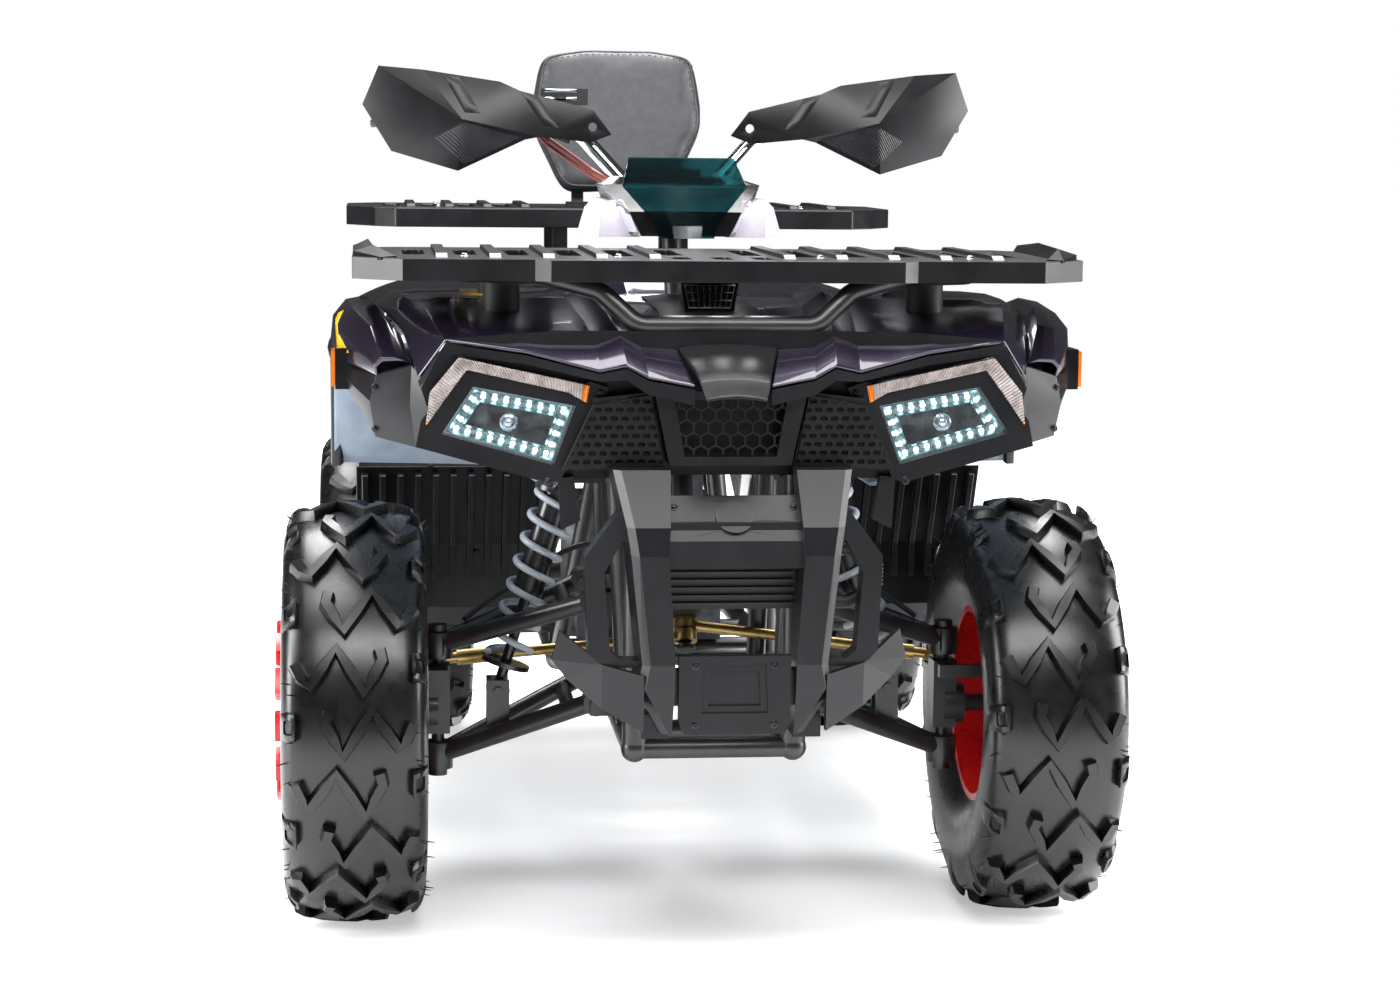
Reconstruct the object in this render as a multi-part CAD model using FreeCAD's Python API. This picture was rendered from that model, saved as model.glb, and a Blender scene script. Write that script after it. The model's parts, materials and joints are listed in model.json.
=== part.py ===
import FreeCAD, Part
import math
import os

# A utility quad bike. X runs across it, with the rider's left at +X, Y runs from the front to the rear, and Z is up
# from the ground. Everything is drawn with Y = 0 at the front axle and moved by origin_y as it is written.
# Millimetres and degrees.

# Overall layout
wheelbase = 1200.0
front_track = 860.0
rear_track = 740.0
front_end_y = -452.0
rear_end_y = wheelbase + 252.0
origin_y = (front_end_y + rear_end_y) / 2

# Fits and gaps
running_gap = 0.3
seat_gap = 0.3
seam_gap = 0.5
overrun = 20.0

# Wheels and tyres
front_tyre_radius = 267.0
front_tyre_width = 178.0
rear_tyre_radius = 254.0
rear_tyre_width = 250.0
rim_radius = 127.0
front_rim_width = 132.0
rear_rim_width = 196.0
sidewall_rise_share = 0.42
shoulder_width_share = 0.86
shoulder_flare = 4.0
crown_drops = (26.0, 8.0, 0.0)
tread_columns_share = (1.0, 0.62, 0.22)
lug_height = 13.0
lug_pitches = 10
lug_row_shares = (0.26, 0.26, 0.24, 0.24)
lug_skew = 13.0
rim_wall = 9.0
rim_flange_height = 8.0
rim_flange_width = 7.0
rim_disc_thickness = 14.0
rim_disc_inset = 22.0
rim_bore_radius = 31.0
block_count = 12
block_width = 34.0
block_proud = 32.0
block_inner_radius = 74.0
window_count = 8
block_outer_margin = 4.0
rim_window_width = 20.0
hub_cap_radius = 30.0
hub_cap_length = 26.0

# Front hubs, brake discs and knuckles
kingpin_x = 326.0
disc_radius = 84.0
disc_thickness = 4.0
disc_offset = 24.0
hub_radius = 26.0
hub_flange_radius = 52.0
hub_flange_thickness = 8.0
spindle_radius = 11.0
knuckle_half_width = 15.0
knuckle_half_depth = 19.0
knuckle_low_z = 238.0
knuckle_high_z = 325.0
ball_pin_radius = 8.0
ball_nut_radius = 12.0
ball_nut_height = 9.0
steer_arm_reach = 66.0
steer_arm_width = 26.0
steer_arm_thickness = 10.0
steer_arm_z = 306.0
caliper_width = 30.0
caliper_depth = 36.0
caliper_height = 48.0
caliper_radius_share = 0.84
caliper_slot = 7.0

# Front arms
lower_arm_inner_x = 132.0
lower_arm_inner_z = 292.0
lower_arm_spread = 92.0
lower_arm_eye_z = 208.0
upper_arm_inner_x = 136.0
upper_arm_inner_z = 418.0
upper_arm_spread = 92.0
upper_arm_eye_z = 350.0
arm_tube_radius = 12.0
arm_tie_share = 0.84
arm_eye_radius = 19.0
arm_eye_height = 34.0
arm_bush_radius = 16.0
arm_bush_length = 38.0
arm_pivot_radius = 8.0

# Front spring legs
shock_low_x = 250.0
shock_low_z = 292.0
shock_high_x = 165.0
shock_high_z = 572.0
shock_eye_radius = 15.0
shock_eye_width = 30.0
shock_pin_radius = 6.0
shock_body_radius = 19.0
shock_body_share = 0.43
shock_rod_radius = 7.0
shock_seat_radius = 31.0
shock_seat_thickness = 6.0
spring_radius = 26.0
spring_wire_radius = 4.5
spring_turns = 7
shock_ear_thickness = 6.0

# Steel frame
frame_tube_radius = 15.0
elbow_share = 1.1
cross_tube_share = 0.83
rail_x = 96.0
rail_wide_x = 150.0
rail_z = 262.0
rail_front_y = -240.0
rail_rear_y = wheelbase - 340.0
tower_y = 128.0
tower_top_z = 612.0
seat_rail_z = 640.0
seat_rail_rear_y = wheelbase + 130.0
nose_frame_y = -240.0
nose_frame_z = 690.0
rear_post_y = wheelbase - 380.0
tank_rail_z = 640.0
stem_bearing_radius = 24.0
stem_bearing_length = 34.0
stem_high_bearing_share = 0.60
foot_bar_reach = 420.0
foot_bar_z = 300.0
hitch_plate_thickness = 10.0
hitch_plate_width = 90.0
hitch_plate_length = 80.0
hitch_hole_radius = 10.0

# Steering stem, pitman plate and tie rods
stem_radius = 13.0
stem_low_y = 55.0
stem_low_z = 392.0
stem_high_y = 343.0
stem_high_z = 905.0
pitman_tip = 18.0
pitman_nut_radius = 13.0
pitman_nut_height = 6.0
pitman_thickness = 10.0
pitman_width = 30.0
tie_pin_radius = 6.0
tie_rod_radius = 7.0
tie_eye_radius = 13.0
tie_eye_height = 14.0

# Handlebar and what it carries
bar_radius = 11.0
bar_clamp_half = 58.0
bar_rise = 98.0
bar_knee_x = 122.0
bar_grip_x = 205.0
bar_end_x = 392.0
bar_sweep = 62.0
bar_bend_radius = 34.0
clamp_height = 44.0
clamp_depth = 40.0
grip_radius = 17.0
grip_length = 118.0
guard_thickness = 5.0
lever_length = 150.0
lever_radius = 6.0
switch_radius = 23.0
switch_length = 40.0
reservoir_length = 62.0
reservoir_width = 36.0
reservoir_height = 22.0
screen_thickness = 4.0
screen_rows = ((862, 110, 36), (878, 114, 39), (928, 144, 82), (966, 186, 70))
screen_across = (-1, -0.5, 0, 0.5, 1)
screen_side_set = 10.0


# More of the frame, engine and drive
rail_bend_y = 250.0
rail_wide_y = 390.0
tower_x = 112.0
top_rail_z = 640.0
tank_post_y = 420.0
bumper_mount_zs = (322.0, 548.0)
bumper_back_y = -330.0
bumper_front_y = -452.0
foot_bar_ys = (450.0, wheelbase - 470.0)
engine_front_y = 440.0
engine_mount_ys = (480.0, 640.0)
engine_rear_y = 690.0
engine_low_z = 278.0
engine_half_width = 118.0
swing_pivot_y = wheelbase - 400.0
swing_pivot_z = 330.0
chain_x = 108.0
chain_front_y = 700.0
chain_front_radius = 38.0
chain_rear_radius = 88.0
chain_width = 14.0
chain_thickness = 11.0
chain_front_facets = 9
chain_rear_facets = 16
carrier_length = 150.0
carrier_radius = 38.0
axle_radius = 17.5
brake_disc_x = 108.0
rear_disc_radius = 92.0
rear_shock_low_y = wheelbase - 215.0
rear_shock_low_z = 352.0
rear_shock_high_y = wheelbase - 315.0
rear_shock_high_z = 600.0
hitch_z = 292.0
hitch_hole_reach = 50.0
silencer_x = 184.0
silencer_radius = 46.0
silencer_front_y = wheelbase - 210.0
silencer_rear_y = wheelbase + 150.0
silencer_z = 560.0
exhaust_pipe_radius = 17.0

# Hubs and steering joints
hub_barrel_length = 46.0
knuckle_face_x = 352.0
caliper_offset_y = 30.0
tie_play = 3.6
tie_eye_wall = 6.0
tie_head_gap = 1.0
tie_eye_gap = 3.0
tie_slide = 6.5
pitman_reach = 60.0

# Body panels
panel_thickness = 4.0
cover_low_z = 656.0
flare_thickness = 4.0
footwell_inner_x = 186.0
footwell_outer_x = 430.0
footwell_front_y = 348.0
footwell_rear_y = wheelbase - 320.0
footwell_thickness = 5.0
grille_low_z = 617.0
grille_high_z = 704.0
grille_front_y = -378.0
lamp_front_y = -352.0
lamp_bowl_x = 252.0
lamp_bowl_z = 667.0
lamp_bowl_radius = 20.0
lamp_bowl_depth = 12.0
cooler_front_y = -390.0
fascia_front_y = -338.0
led_ring_inset = 14.0
led_count = 23
led_radius = 4.0
marker_inner_x = 418.0
marker_outer_x = 451.0
marker_y = -158.0
marker_low_z = 690.0
marker_high_z = 739.0
marker_half_length = 25.0
marker_glass = 5.0
side_panel_x = 136.0
hose_radius = 8.0
brake_hose_radius = 3.5
cable_radius = 3.0
rack_tube_radius = 11.0

# Hood of one side: rows from its front edge to the rear, each from the middle strip out to the fender
hood_rows = (
    ((44, -398, 713), (96, -386, 722), (120, -381, 735), (150, -372, 728), (232, -352, 748), (300, -342, 757),
     (324, -338, 760), (355, -320, 716)),
    ((58, -340, 748), (100, -338, 752), (124, -336, 766), (153, -332, 758), (238, -322, 766), (304, -306, 771),
     (334, -296, 773), (362, -285, 738)),
    ((64, -250, 767), (106, -250, 770), (132, -250, 785), (160, -250, 777), (246, -248, 781), (312, -240, 786),
     (345, -232, 789), (372, -225, 764)),
    ((64, -110, 783), (118, -110, 788), (146, -110, 803), (174, -110, 796), (262, -110, 796), (330, -110, 798),
     (368, -110, 797), (393, -110, 782)),
    ((64, 60, 789), (130, 60, 793), (158, 60, 806), (186, 60, 800), (280, 60, 799), (350, 60, 798),
     (384, 60, 795), (404, 60, 780)),
    ((64, 200, 780), (140, 200, 783), (166, 200, 794), (192, 200, 786), (290, 200, 776), (360, 200, 760),
     (390, 200, 748), (408, 200, 731)),
)
hood_shift = (0.0, 1.5, -4.0)
brow_heights = (18, 16, 13, 8, 10, 11, 11, 7)
brow_depth = 8.0
nose_rows = ((-430, 699, 34), (-416, 718, 40), (-398, 728, 43.5), (-340, 751, 57.5), (-250, 768, 63.5),
             (-110, 784, 63.5), (60, 790, 63.5), (200, 781, 63.5))
nose_across = ((-1, 0), (-0.5, 3), (0, 4), (0.5, 3), (1, 0))

# Front fender of one side: rows from front to rear, each from the hood's edge over the top and down outside
fender_rows = (
    ((365.5, -284, 731), (380, -283, 735), (398, -280, 734), (405, -278, 727), (404, -274, 716)),
    ((376, -222, 760), (390, -222, 772), (410, -220, 768), (428, -216, 746), (430, -210, 722)),
    ((391, -140, 773), (402, -140, 788), (430, -140, 782), (447, -138, 762), (450, -134, 728)),
    ((402, 0, 776), (414, 0, 793), (440, 0, 788), (456, 0, 768), (459, 0, 739)),
    ((408, 140, 758), (419, 140, 776), (442, 140, 772), (457, 140, 760), (460, 140, 737)),
    ((411, 212, 732), (420, 212, 746), (442, 212, 744), (456, 212, 736), (459, 212, 722)),
)
fender_shift = (-3.5, 2.0, -4.0)

# Matt flare of one side, along the edge of the arch: each row from its upper edge down to its lip
flare_rows = (
    ((344, -314, 706), (340, -312, 664), (334, -310, 632), (330, -296, 630)),
    ((362, -293, 726), (364, -290, 680), (357, -286, 631), (352, -272, 628)),
    ((403, -270, 713), (410, -266, 683), (404, -260, 641), (394, -246, 638)),
    ((424, -226, 714), (428, -222, 696), (422, -216, 672), (411, -206, 670)),
    ((449, -136, 722), (453, -134, 714), (451, -130, 704), (440, -126, 703)),
    ((459, 0, 735), (463, 0, 727), (461, 0, 717), (450, 0, 716)),
    ((460, 146, 733), (464, 144, 725), (462, 138, 715), (451, 134, 714)),
    ((459, 222, 716), (463, 218, 706), (461, 206, 696), (450, 202, 695)),
    ((459, 228, 562), (463, 222, 558), (461, 210, 556), (450, 206, 556)),
)
flare_shift = (-4.0, 3.5, 3.0)

# Arch liner of one side: rows from front to rear over the wheel and down behind it
liner_rows = (
    ((196, -292, 586), (226, -292, 622), (282, -292, 630), (334, -292, 634)),
    ((190, -215, 576), (222, -215, 650), (310, -215, 676), (415, -215, 692)),
    ((188, -100, 576), (220, -100, 668), (320, -100, 706), (450, -100, 716)),
    ((188, 80, 576), (220, 80, 672), (320, 80, 712), (458, 80, 724)),
    ((188, 168, 560), (220, 168, 660), (320, 168, 694), (458, 172, 716)),
    ((186, 200, 530), (222, 204, 556), (310, 208, 558), (458, 212, 560)),
)
liner_shift = (-3.0, 4.0, 4.0)

# Headlamp, strip lamp and the band round them, as (x, z) seen from the front
lamp_frame = ((164, 688), (184, 700), (300, 726), (347, 662), (341, 644), (202, 608))
lamp_glass = ((176, 685), (293, 707), (329, 653), (201, 617))
strip_lamp = ((160, 709), (310, 741), (343, 701), (347, 662), (300, 726), (184, 700), (164, 688))
lamp_band = ((138, 706), (160, 713), (184, 704), (302, 731), (352, 668), (358, 638), (206, 596), (193, 600))
band_leg = ((178, 604), (196, 602), (192, 542), (170, 553))
side_field = ((92, 702), (152, 695), (126, 612), (74, 617))
field_hole = (10.0, 3.2)
fascia_outline = ((200, 770), (322, 760), (352, 704), (330, 636), (204, 598), (60, 604))
grille_outer = ((88, 704), (70, 619))
grille_inner = ((65, 694), (53, 629))
honeycomb_pitch = 17.0
honeycomb_wall = 2.6

# Bumper: upright sections as (z, inner x, outer x, front y, rear y), and the folded pieces beside and between
upright_sections = (
    (316, 70, 82, -425, -400), (372, 69, 112, -448, -398), (400, 69, 106, -452, -396),
    (524, 77, 119, -452, -392), (556, 75, 124, -446, -390), (617, 72, 137, -408, -372),
)
upright_chamfer = 9.0
loop_outline = (
    (118, 570), (130, 574), (170, 520), (166, 412), (150, 394), (104, 394), (104, 402), (128, 402),
    (141, 412), (148, 502), (128, 538), (118, 538),
)
loop_front_y = -425.0
loop_rear_y = -392.0
wing_points = (
    (104, -449, 388), (150, -428, 398), (196, -398, 432), (205, -392, 398), (188, -395, 376),
    (150, -420, 346), (104, -443, 322),
)
wing_faces = ((0, 1, 5), (0, 5, 6), (1, 2, 3), (1, 3, 4), (1, 4, 5))
wing_depth = 13.0
bumper_plate_profile = (
    (-398, 587), (-440, 540), (-440, 509), (-429, 509), (-429, 534), (-388, 579),
)
bumper_plate_half = 78.0
bumper_disc = (22.0, 3.0)
low_plate_outline = ((-58, 319), (58, 319), (64, 335), (64, 409), (-64, 409), (-64, 335))
low_plate_recess = ((-38, 343), (38, 343), (36, 400), (-36, 400))
low_plate_dish = ((-30, 351), (30, 351), (28, 392), (-28, 392))
low_plate_front_y = -441.0
low_plate_rear_y = -428.0

# Hand guard of one side: its corners and the folds between them
guard_points = (
    (82, 328, 996), (107, 327, 1029), (207, 331, 1054), (234, 332, 1066), (338, 338, 1081), (398, 352, 1086),
    (420, 368, 1034), (286, 318, 1015), (180, 318, 992), (111, 326, 985), (381, 356, 971), (291, 334, 945),
    (200, 330, 988),
)
guard_faces = (
    (0, 1, 9), (1, 2, 8), (1, 8, 9), (2, 3, 7), (2, 7, 8), (3, 4, 7), (4, 5, 7), (5, 6, 7), (6, 10, 7),
    (7, 10, 11), (7, 11, 12), (7, 12, 8),
)
guard_eye = (108.0, 1006.0, 6.0)

# Front rack: half outline from the front middle, and its side rails as (y, inner x, outer x, height)
front_rack_outline = (
    (204, -350), (222, -334), (372, -334), (430, -278), (430, 5), (390, 60),
)
front_rack_rails = ((-312, 372, 398, 3), (-250, 396, 429, 13), (-120, 404, 430, 16), (20, 410, 430, 8))
rack_loop_points = (
    (300, 20, 0), (300, -250, 0), (214, -300, 0), (146, -319, -17), (104, -330, -55),
)
rear_rack_outline = ((370, -155), (405, -125), (450, -40), (450, 190), (400, 252))
backrest_outline = ((-97, 0), (97, 0), (152, 118), (134, 240), (56, 252))

# Rear fender of one side: rows from front to rear, each from the tail outwards, with Y from the rear axle
rear_fender_rows = (
    ((0, -440, 690), (240, -440, 660), (350, -410, 600), (440, -370, 520)),
    ((0, -300, 715), (240, -300, 712), (360, -300, 690), (452, -300, 640)),
    ((0, -150, 730), (250, -150, 735), (370, -150, 728), (462, -150, 690)),
    ((0, 50, 745), (250, 50, 750), (370, 50, 745), (462, 50, 705)),
    ((0, 225, 752), (240, 220, 756), (350, 210, 750), (440, 195, 715)),
)
rear_fender_shift = (-2.0, 0.0, -5.0)
tail_profile = ((-88, 655.3), (225, 690), (225, 746), (50, 740), (-88, 730))

# Racks, seat and backrest
rack_half_width = 430.0
rack_deck = 8.0
front_rack_front_y = -350.0
front_rack_rear_y = 60.0
front_rack_z = 851.0
rear_rack_front_y = wheelbase - 155.0
rear_rack_rear_y = wheelbase + 252.0
rear_rack_z = 880.0
seat_half_width = 132.0
tail_half = seat_half_width + 6
backrest_y = wheelbase
backrest_depth = 62.0
backrest_low_z = 900.0
backrest_lean = 7.0
backrest_corner = 24.0
guard_front_y = 318.0
cheek_rings = (
    (172, ((56, 862), (112, 862), (110, 892), (100, 903), (80, 900))),
    (214, ((60, 862), (138, 862), (127, 900), (116, 912), (88, 912))),
    (252, ((64, 864), (132, 864), (124, 898), (112, 912), (86, 914))),
)


def vec(x, y, z):
    return FreeCAD.Vector(x, y, z)


x_axis = vec(1, 0, 0)
y_axis = vec(0, 1, 0)
z_axis = vec(0, 0, 1)
zero = vec(0, 0, 0)


def box(x0, x1, y0, y1, z0, z1):
    """A block between two corners, given in any order."""
    low = vec(min(x0, x1), min(y0, y1), min(z0, z1))
    return Part.makeBox(abs(x1 - x0), abs(y1 - y0), abs(z1 - z0), low)


def rod(start, end, radius):
    """A round bar from one point to another."""
    return Part.makeCylinder(radius, start.distanceToPoint(end), start, end - start)


def rod_along(centre, axis, length, radius):
    """A round bar of a given length, centred on a point."""
    half = FreeCAD.Vector(axis).normalize() * (length / 2)
    return rod(centre - half, centre + half, radius)


def ball(centre, radius):
    return Part.makeSphere(radius, centre)


def rods_through(points, radius):
    """Straight round bars through a list of points, with a ball at each corner."""
    pieces = [rod(a, b, radius) for a, b in zip(points, points[1:])]
    corners = [ball(p, radius * elbow_share) for p in points[1:-1]]
    return fuse(pieces + corners)


def bent_rod(points, radius, bend):
    """A round bar through a list of points, each corner turned through an arc."""
    edges = []
    last = points[0]
    for before, corner, after in zip(points, points[1:], points[2:]):
        back = (before - corner).normalize()
        on = (after - corner).normalize()
        half = back.getAngle(on) / 2
        reach = bend / math.tan(half)
        start, end = corner + back * reach, corner + on * reach
        middle = corner + (back + on).normalize() * (bend / math.sin(half) - bend)
        edges += [Part.makeLine(last, start), Part.Arc(start, middle, end).toShape()]
        last = end
    edges.append(Part.makeLine(last, points[-1]))
    ring = Part.Wire(Part.makeCircle(radius, points[0], points[1] - points[0]))
    return Part.Wire(edges).makePipeShell([ring], True, False)


def fuse(shapes):
    """One solid from several that meet."""
    first = shapes[0]
    if len(shapes) > 1:
        first = first.multiFuse(shapes[1:])
    return first.removeSplitter()


def mirrored(shape):
    """The same piece on the other side of the quad bike."""
    return shape.mirror(zero, x_axis)


def both_sides(shape):
    return Part.makeCompound([shape, mirrored(shape)])


def polyhedron(points, faces):
    """A solid with flat faces, from its corners and the corner numbers of each face."""
    made = []
    for face in faces:
        ring = [points[n] for n in face]
        made.append(Part.Face(Part.makePolygon(ring + ring[:1])))
    shell = Part.makeShell(made)
    shell.sewShape()
    solid = Part.Solid(shell)
    if solid.Volume < 0:
        solid.reverse()
    return solid


def folded(points, faces, shift):
    """A sheet of flat facets, made thick by moving a copy of it along shift."""
    top = [vec(*p) for p in points]
    low = len(top)
    sides = []
    for face in faces:
        sides.append(face)
        sides.append([low + n for n in reversed(face)])
    edges = [(a, b) for face in faces for a, b in zip(face, face[1:] + face[:1])]
    for a, b in edges:
        if (b, a) not in edges:
            sides.append((b, a, low + a, low + b))
    return polyhedron(top + [p + vec(*shift) for p in top], sides)


def folded_rows(rows, shift):
    """A folded sheet through rows of points, two flat triangles to a cell."""
    columns = len(rows[0])
    faces = []
    for i in range(len(rows) - 1):
        for j in range(columns - 1):
            a = i * columns + j
            faces += [(a, a + 1, a + columns + 1), (a, a + columns + 1, a + columns)]
    return folded([p for row in rows for p in row], faces, shift)


def through(rings):
    """A faceted bar through rings of points, every ring flat and with as many corners."""
    count = len(rings[0])
    faces = [list(range(count))[::-1]]
    for n in range(len(rings) - 1):
        low = n * count
        for k in range(count):
            a, b = low + k, low + (k + 1) % count
            faces += [(a, b, b + count), (a, b + count, a + count)]
    last = (len(rings) - 1) * count
    faces.append(list(range(last, last + count)))
    return polyhedron([p for ring in rings for p in ring], faces)


def rounded(points, radius):
    """A closed flat wire through points, every corner turned with the same radius."""
    edges = []
    last = None
    for before, corner, after in zip(points[-1:] + points[:-1], points, points[1:] + points[:1]):
        back = (before - corner).normalize()
        on = (after - corner).normalize()
        half = back.getAngle(on) / 2
        reach = radius / math.tan(half)
        start, end = corner + back * reach, corner + on * reach
        middle = corner + (back + on).normalize() * (radius / math.sin(half) - radius)
        if last:
            edges.append(Part.makeLine(last, start))
        else:
            first = start
        edges.append(Part.Arc(start, middle, end).toShape())
        last = end
    edges.append(Part.makeLine(last, first))
    return Part.Wire(edges)


def prism_y(outline, y0, y1):
    """A flat outline of (x, z) points, drawn out from y0 to y1."""
    ring = [vec(x, y0, z) for x, z in outline]
    return Part.Face(Part.makePolygon(ring + [ring[0]])).extrude(vec(0, y1 - y0, 0))


def prism_x(outline, x0, x1):
    """A flat outline of (y, z) points, drawn out from x0 to x1."""
    ring = [vec(x0, y, z) for y, z in outline]
    return Part.Face(Part.makePolygon(ring + [ring[0]])).extrude(vec(x1 - x0, 0, 0))


def prism_z(outline, z0, z1):
    """A flat outline of (x, y) points, drawn out from z0 to z1."""
    ring = [vec(x, y, z0) for x, y in outline]
    return Part.Face(Part.makePolygon(ring + [ring[0]])).extrude(vec(0, 0, z1 - z0))


def save(name, shape):
    moved = shape.copy()
    moved.translate(vec(0, -origin_y, 0))
    moved.exportStep("parts/" + name + ".step")


def smooth_skin(rows, shift):
    """A curved panel through rows of points, its other face moved by shift."""
    surface = Part.BSplineSurface()
    surface.interpolate([[vec(*p) for p in row] for row in rows])
    return surface.toShape().extrude(shift)


def ring_of(shape, count, centre, axis, start=0.0):
    """The same shape repeated round an axis."""
    made = []
    for n in range(count):
        turned = shape.copy()
        turned.rotate(centre, axis, start + 360.0 * n / count)
        made.append(turned)
    return made


def lathe(outline, centre_x, centre_y, centre_z):
    """A solid turned about an axle across the quad bike, from (offset along x, radius) points."""
    ring = [vec(centre_x + x, centre_y, centre_z + r) for x, r in outline]
    face = Part.Face(Part.makePolygon(ring + [ring[0]]))
    return face.revolve(vec(centre_x, centre_y, centre_z), x_axis, 360)


def tyre(centre, radius, width, rim_width):
    """A tyre seated between the flanges of its rim, with Z-shaped lugs and square blocks at its shoulders."""
    half = width / 2
    turns = []
    for pitch in range(lug_pitches):
        for n in range(len(lug_row_shares)):
            turns.append(360.0 / lug_pitches * (pitch + sum(lug_row_shares[:n])))
    rows = len(turns)
    grow = 1 / math.cos(math.radians(180.0 / lug_pitches * max(lug_row_shares)))
    bead = (rim_radius + seat_gap) * grow
    bead_half = rim_width / 2 - rim_flange_width - seat_gap
    lip = (rim_radius + seat_gap + rim_flange_height) * grow
    rise = bead + (radius - bead) * sidewall_rise_share
    shoulder = half * shoulder_width_share
    tread = [(shoulder * x, radius - lug_height - drop) for x, drop in zip(tread_columns_share, crown_drops)]
    tread += [(-x, r) for x, r in tread[::-1]]
    section = [(bead_half, bead), (bead_half, lip), (half, rise)] + tread
    section += [(-half, rise), (-bead_half, lip), (-bead_half, bead)]
    first, last = 3, 3 + len(tread) - 1
    lugs = {0: (0, 1, 2), 1: (2, 3, 4), 2: (0,), 3: (4,)}
    start = -90.0 - turns[1] - lug_skew * (0.5 - tread_columns_share[-1])

    def corner(i, k, raised):
        x, r = section[k]
        if raised:
            r += lug_height
            x += shoulder_flare * ((k == first) - (k == last))
        skew = 0.0
        if first <= k <= last:
            skew = lug_skew * (0.5 - abs(section[k][0]) / shoulder)
        angle = math.radians(start + turns[i % rows] + skew)
        return vec(centre.x + x, centre.y + r * math.cos(angle), centre.z + r * math.sin(angle))

    def is_raised(i, k):
        return first <= k < last and k - first in lugs[i % len(lug_row_shares)]

    faces = []
    for i in range(rows):
        for k in range(len(section)):
            m = (k + 1) % len(section)
            up = is_raised(i, k)
            faces.append([corner(i, k, up), corner(i, m, up), corner(i + 1, m, up), corner(i + 1, k, up)])
            before = is_raised(i, k - 1)
            if up != before:
                faces.append([corner(i, k, before), corner(i, k, up), corner(i + 1, k, up), corner(i + 1, k, before)])
            behind = is_raised(i - 1, k)
            if up != behind:
                faces.append([corner(i, k, behind), corner(i, m, behind), corner(i, m, up), corner(i, k, up)])
    points = [p for face in faces for p in face]
    corners = []
    for n in range(0, len(points), 4):
        corners += [(n, n + 1, n + 2), (n, n + 2, n + 3)]
    return polyhedron(points, corners)


def rim(centre, width, side):
    """A pressed rim with a ring of square-shouldered blocks on its outer face; side is +1 on the left."""
    half = width / 2
    wall = rim_radius - rim_wall
    flange = rim_radius + rim_flange_height
    barrel = lathe([
        (-half, wall), (-half, flange), (-half + rim_flange_width, flange),
        (-half + rim_flange_width, rim_radius), (half - rim_flange_width, rim_radius),
        (half - rim_flange_width, flange), (half, flange), (half, wall),
    ], centre.x, centre.y, centre.z)
    face_x = centre.x + side * (half - rim_disc_inset)
    disc = rod(vec(face_x, centre.y, centre.z), vec(face_x - side * rim_disc_thickness, centre.y, centre.z),
               wall + 1)
    bore = rod_along(vec(face_x, centre.y, centre.z), x_axis, 4 * rim_disc_thickness, rim_bore_radius)
    outer = wall - block_outer_margin
    front_x = face_x + side * (rim_disc_inset + block_proud)
    root_x = face_x - side
    step_x = face_x + side * (rim_disc_inset + block_proud * 0.45)
    low = centre.z + block_inner_radius
    red = prism_y([(root_x, low), (root_x, centre.z + outer), (front_x, centre.z + outer),
                   (front_x, low + block_width * 0.45), (step_x, low + block_width * 0.2), (step_x, low)],
                  centre.y - block_width / 2, centre.y + block_width / 2)
    trimmer = rod(vec(face_x - side * 3, centre.y, centre.z), vec(front_x + side, centre.y, centre.z), outer)
    red = red.common(trimmer)
    window = box(face_x - overrun * 2, face_x + overrun * 2, centre.y - rim_window_width / 2,
                 centre.y + rim_window_width / 2, centre.z + hub_flange_radius + 2, centre.z + block_inner_radius - 2)
    windows = ring_of(window, window_count, centre, x_axis, 180.0 / window_count)
    solid = barrel.multiFuse([disc] + ring_of(red, block_count, centre, x_axis))
    solid = solid.cut(Part.makeCompound([bore] + windows))
    return solid.removeSplitter()


def front_centre(side):
    return vec(side * front_track / 2, 0, front_tyre_radius)


def rear_centre(side):
    return vec(side * rear_track / 2, wheelbase, rear_tyre_radius)


def on_left_and_right(name, make):
    """Saves a left and a right piece under their own names."""
    shape = make()
    save(name + "_left", shape)
    save(name + "_right", mirrored(shape))


def front_hub():
    """The turning hub of a front wheel, with its flange and brake disc."""
    centre = front_centre(1)
    face_x = centre.x + front_rim_width / 2 - rim_disc_inset
    back_x = face_x - rim_disc_thickness
    flange = rod(vec(back_x - hub_flange_thickness, 0, centre.z), vec(back_x, 0, centre.z), hub_flange_radius)
    barrel = rod(vec(back_x - hub_barrel_length, 0, centre.z), vec(back_x, 0, centre.z), hub_radius)
    disc = rod(vec(back_x - disc_offset - disc_thickness, 0, centre.z), vec(back_x - disc_offset, 0, centre.z),
               disc_radius)
    cap = rod(vec(back_x - 1, 0, centre.z), vec(face_x + hub_cap_length, 0, centre.z), hub_cap_radius)
    bore = rod(vec(back_x - hub_barrel_length - overrun, 0, centre.z), vec(back_x + 6, 0, centre.z),
               spindle_radius + running_gap)
    return fuse([flange, barrel, disc, cap]).cut(bore)


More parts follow.
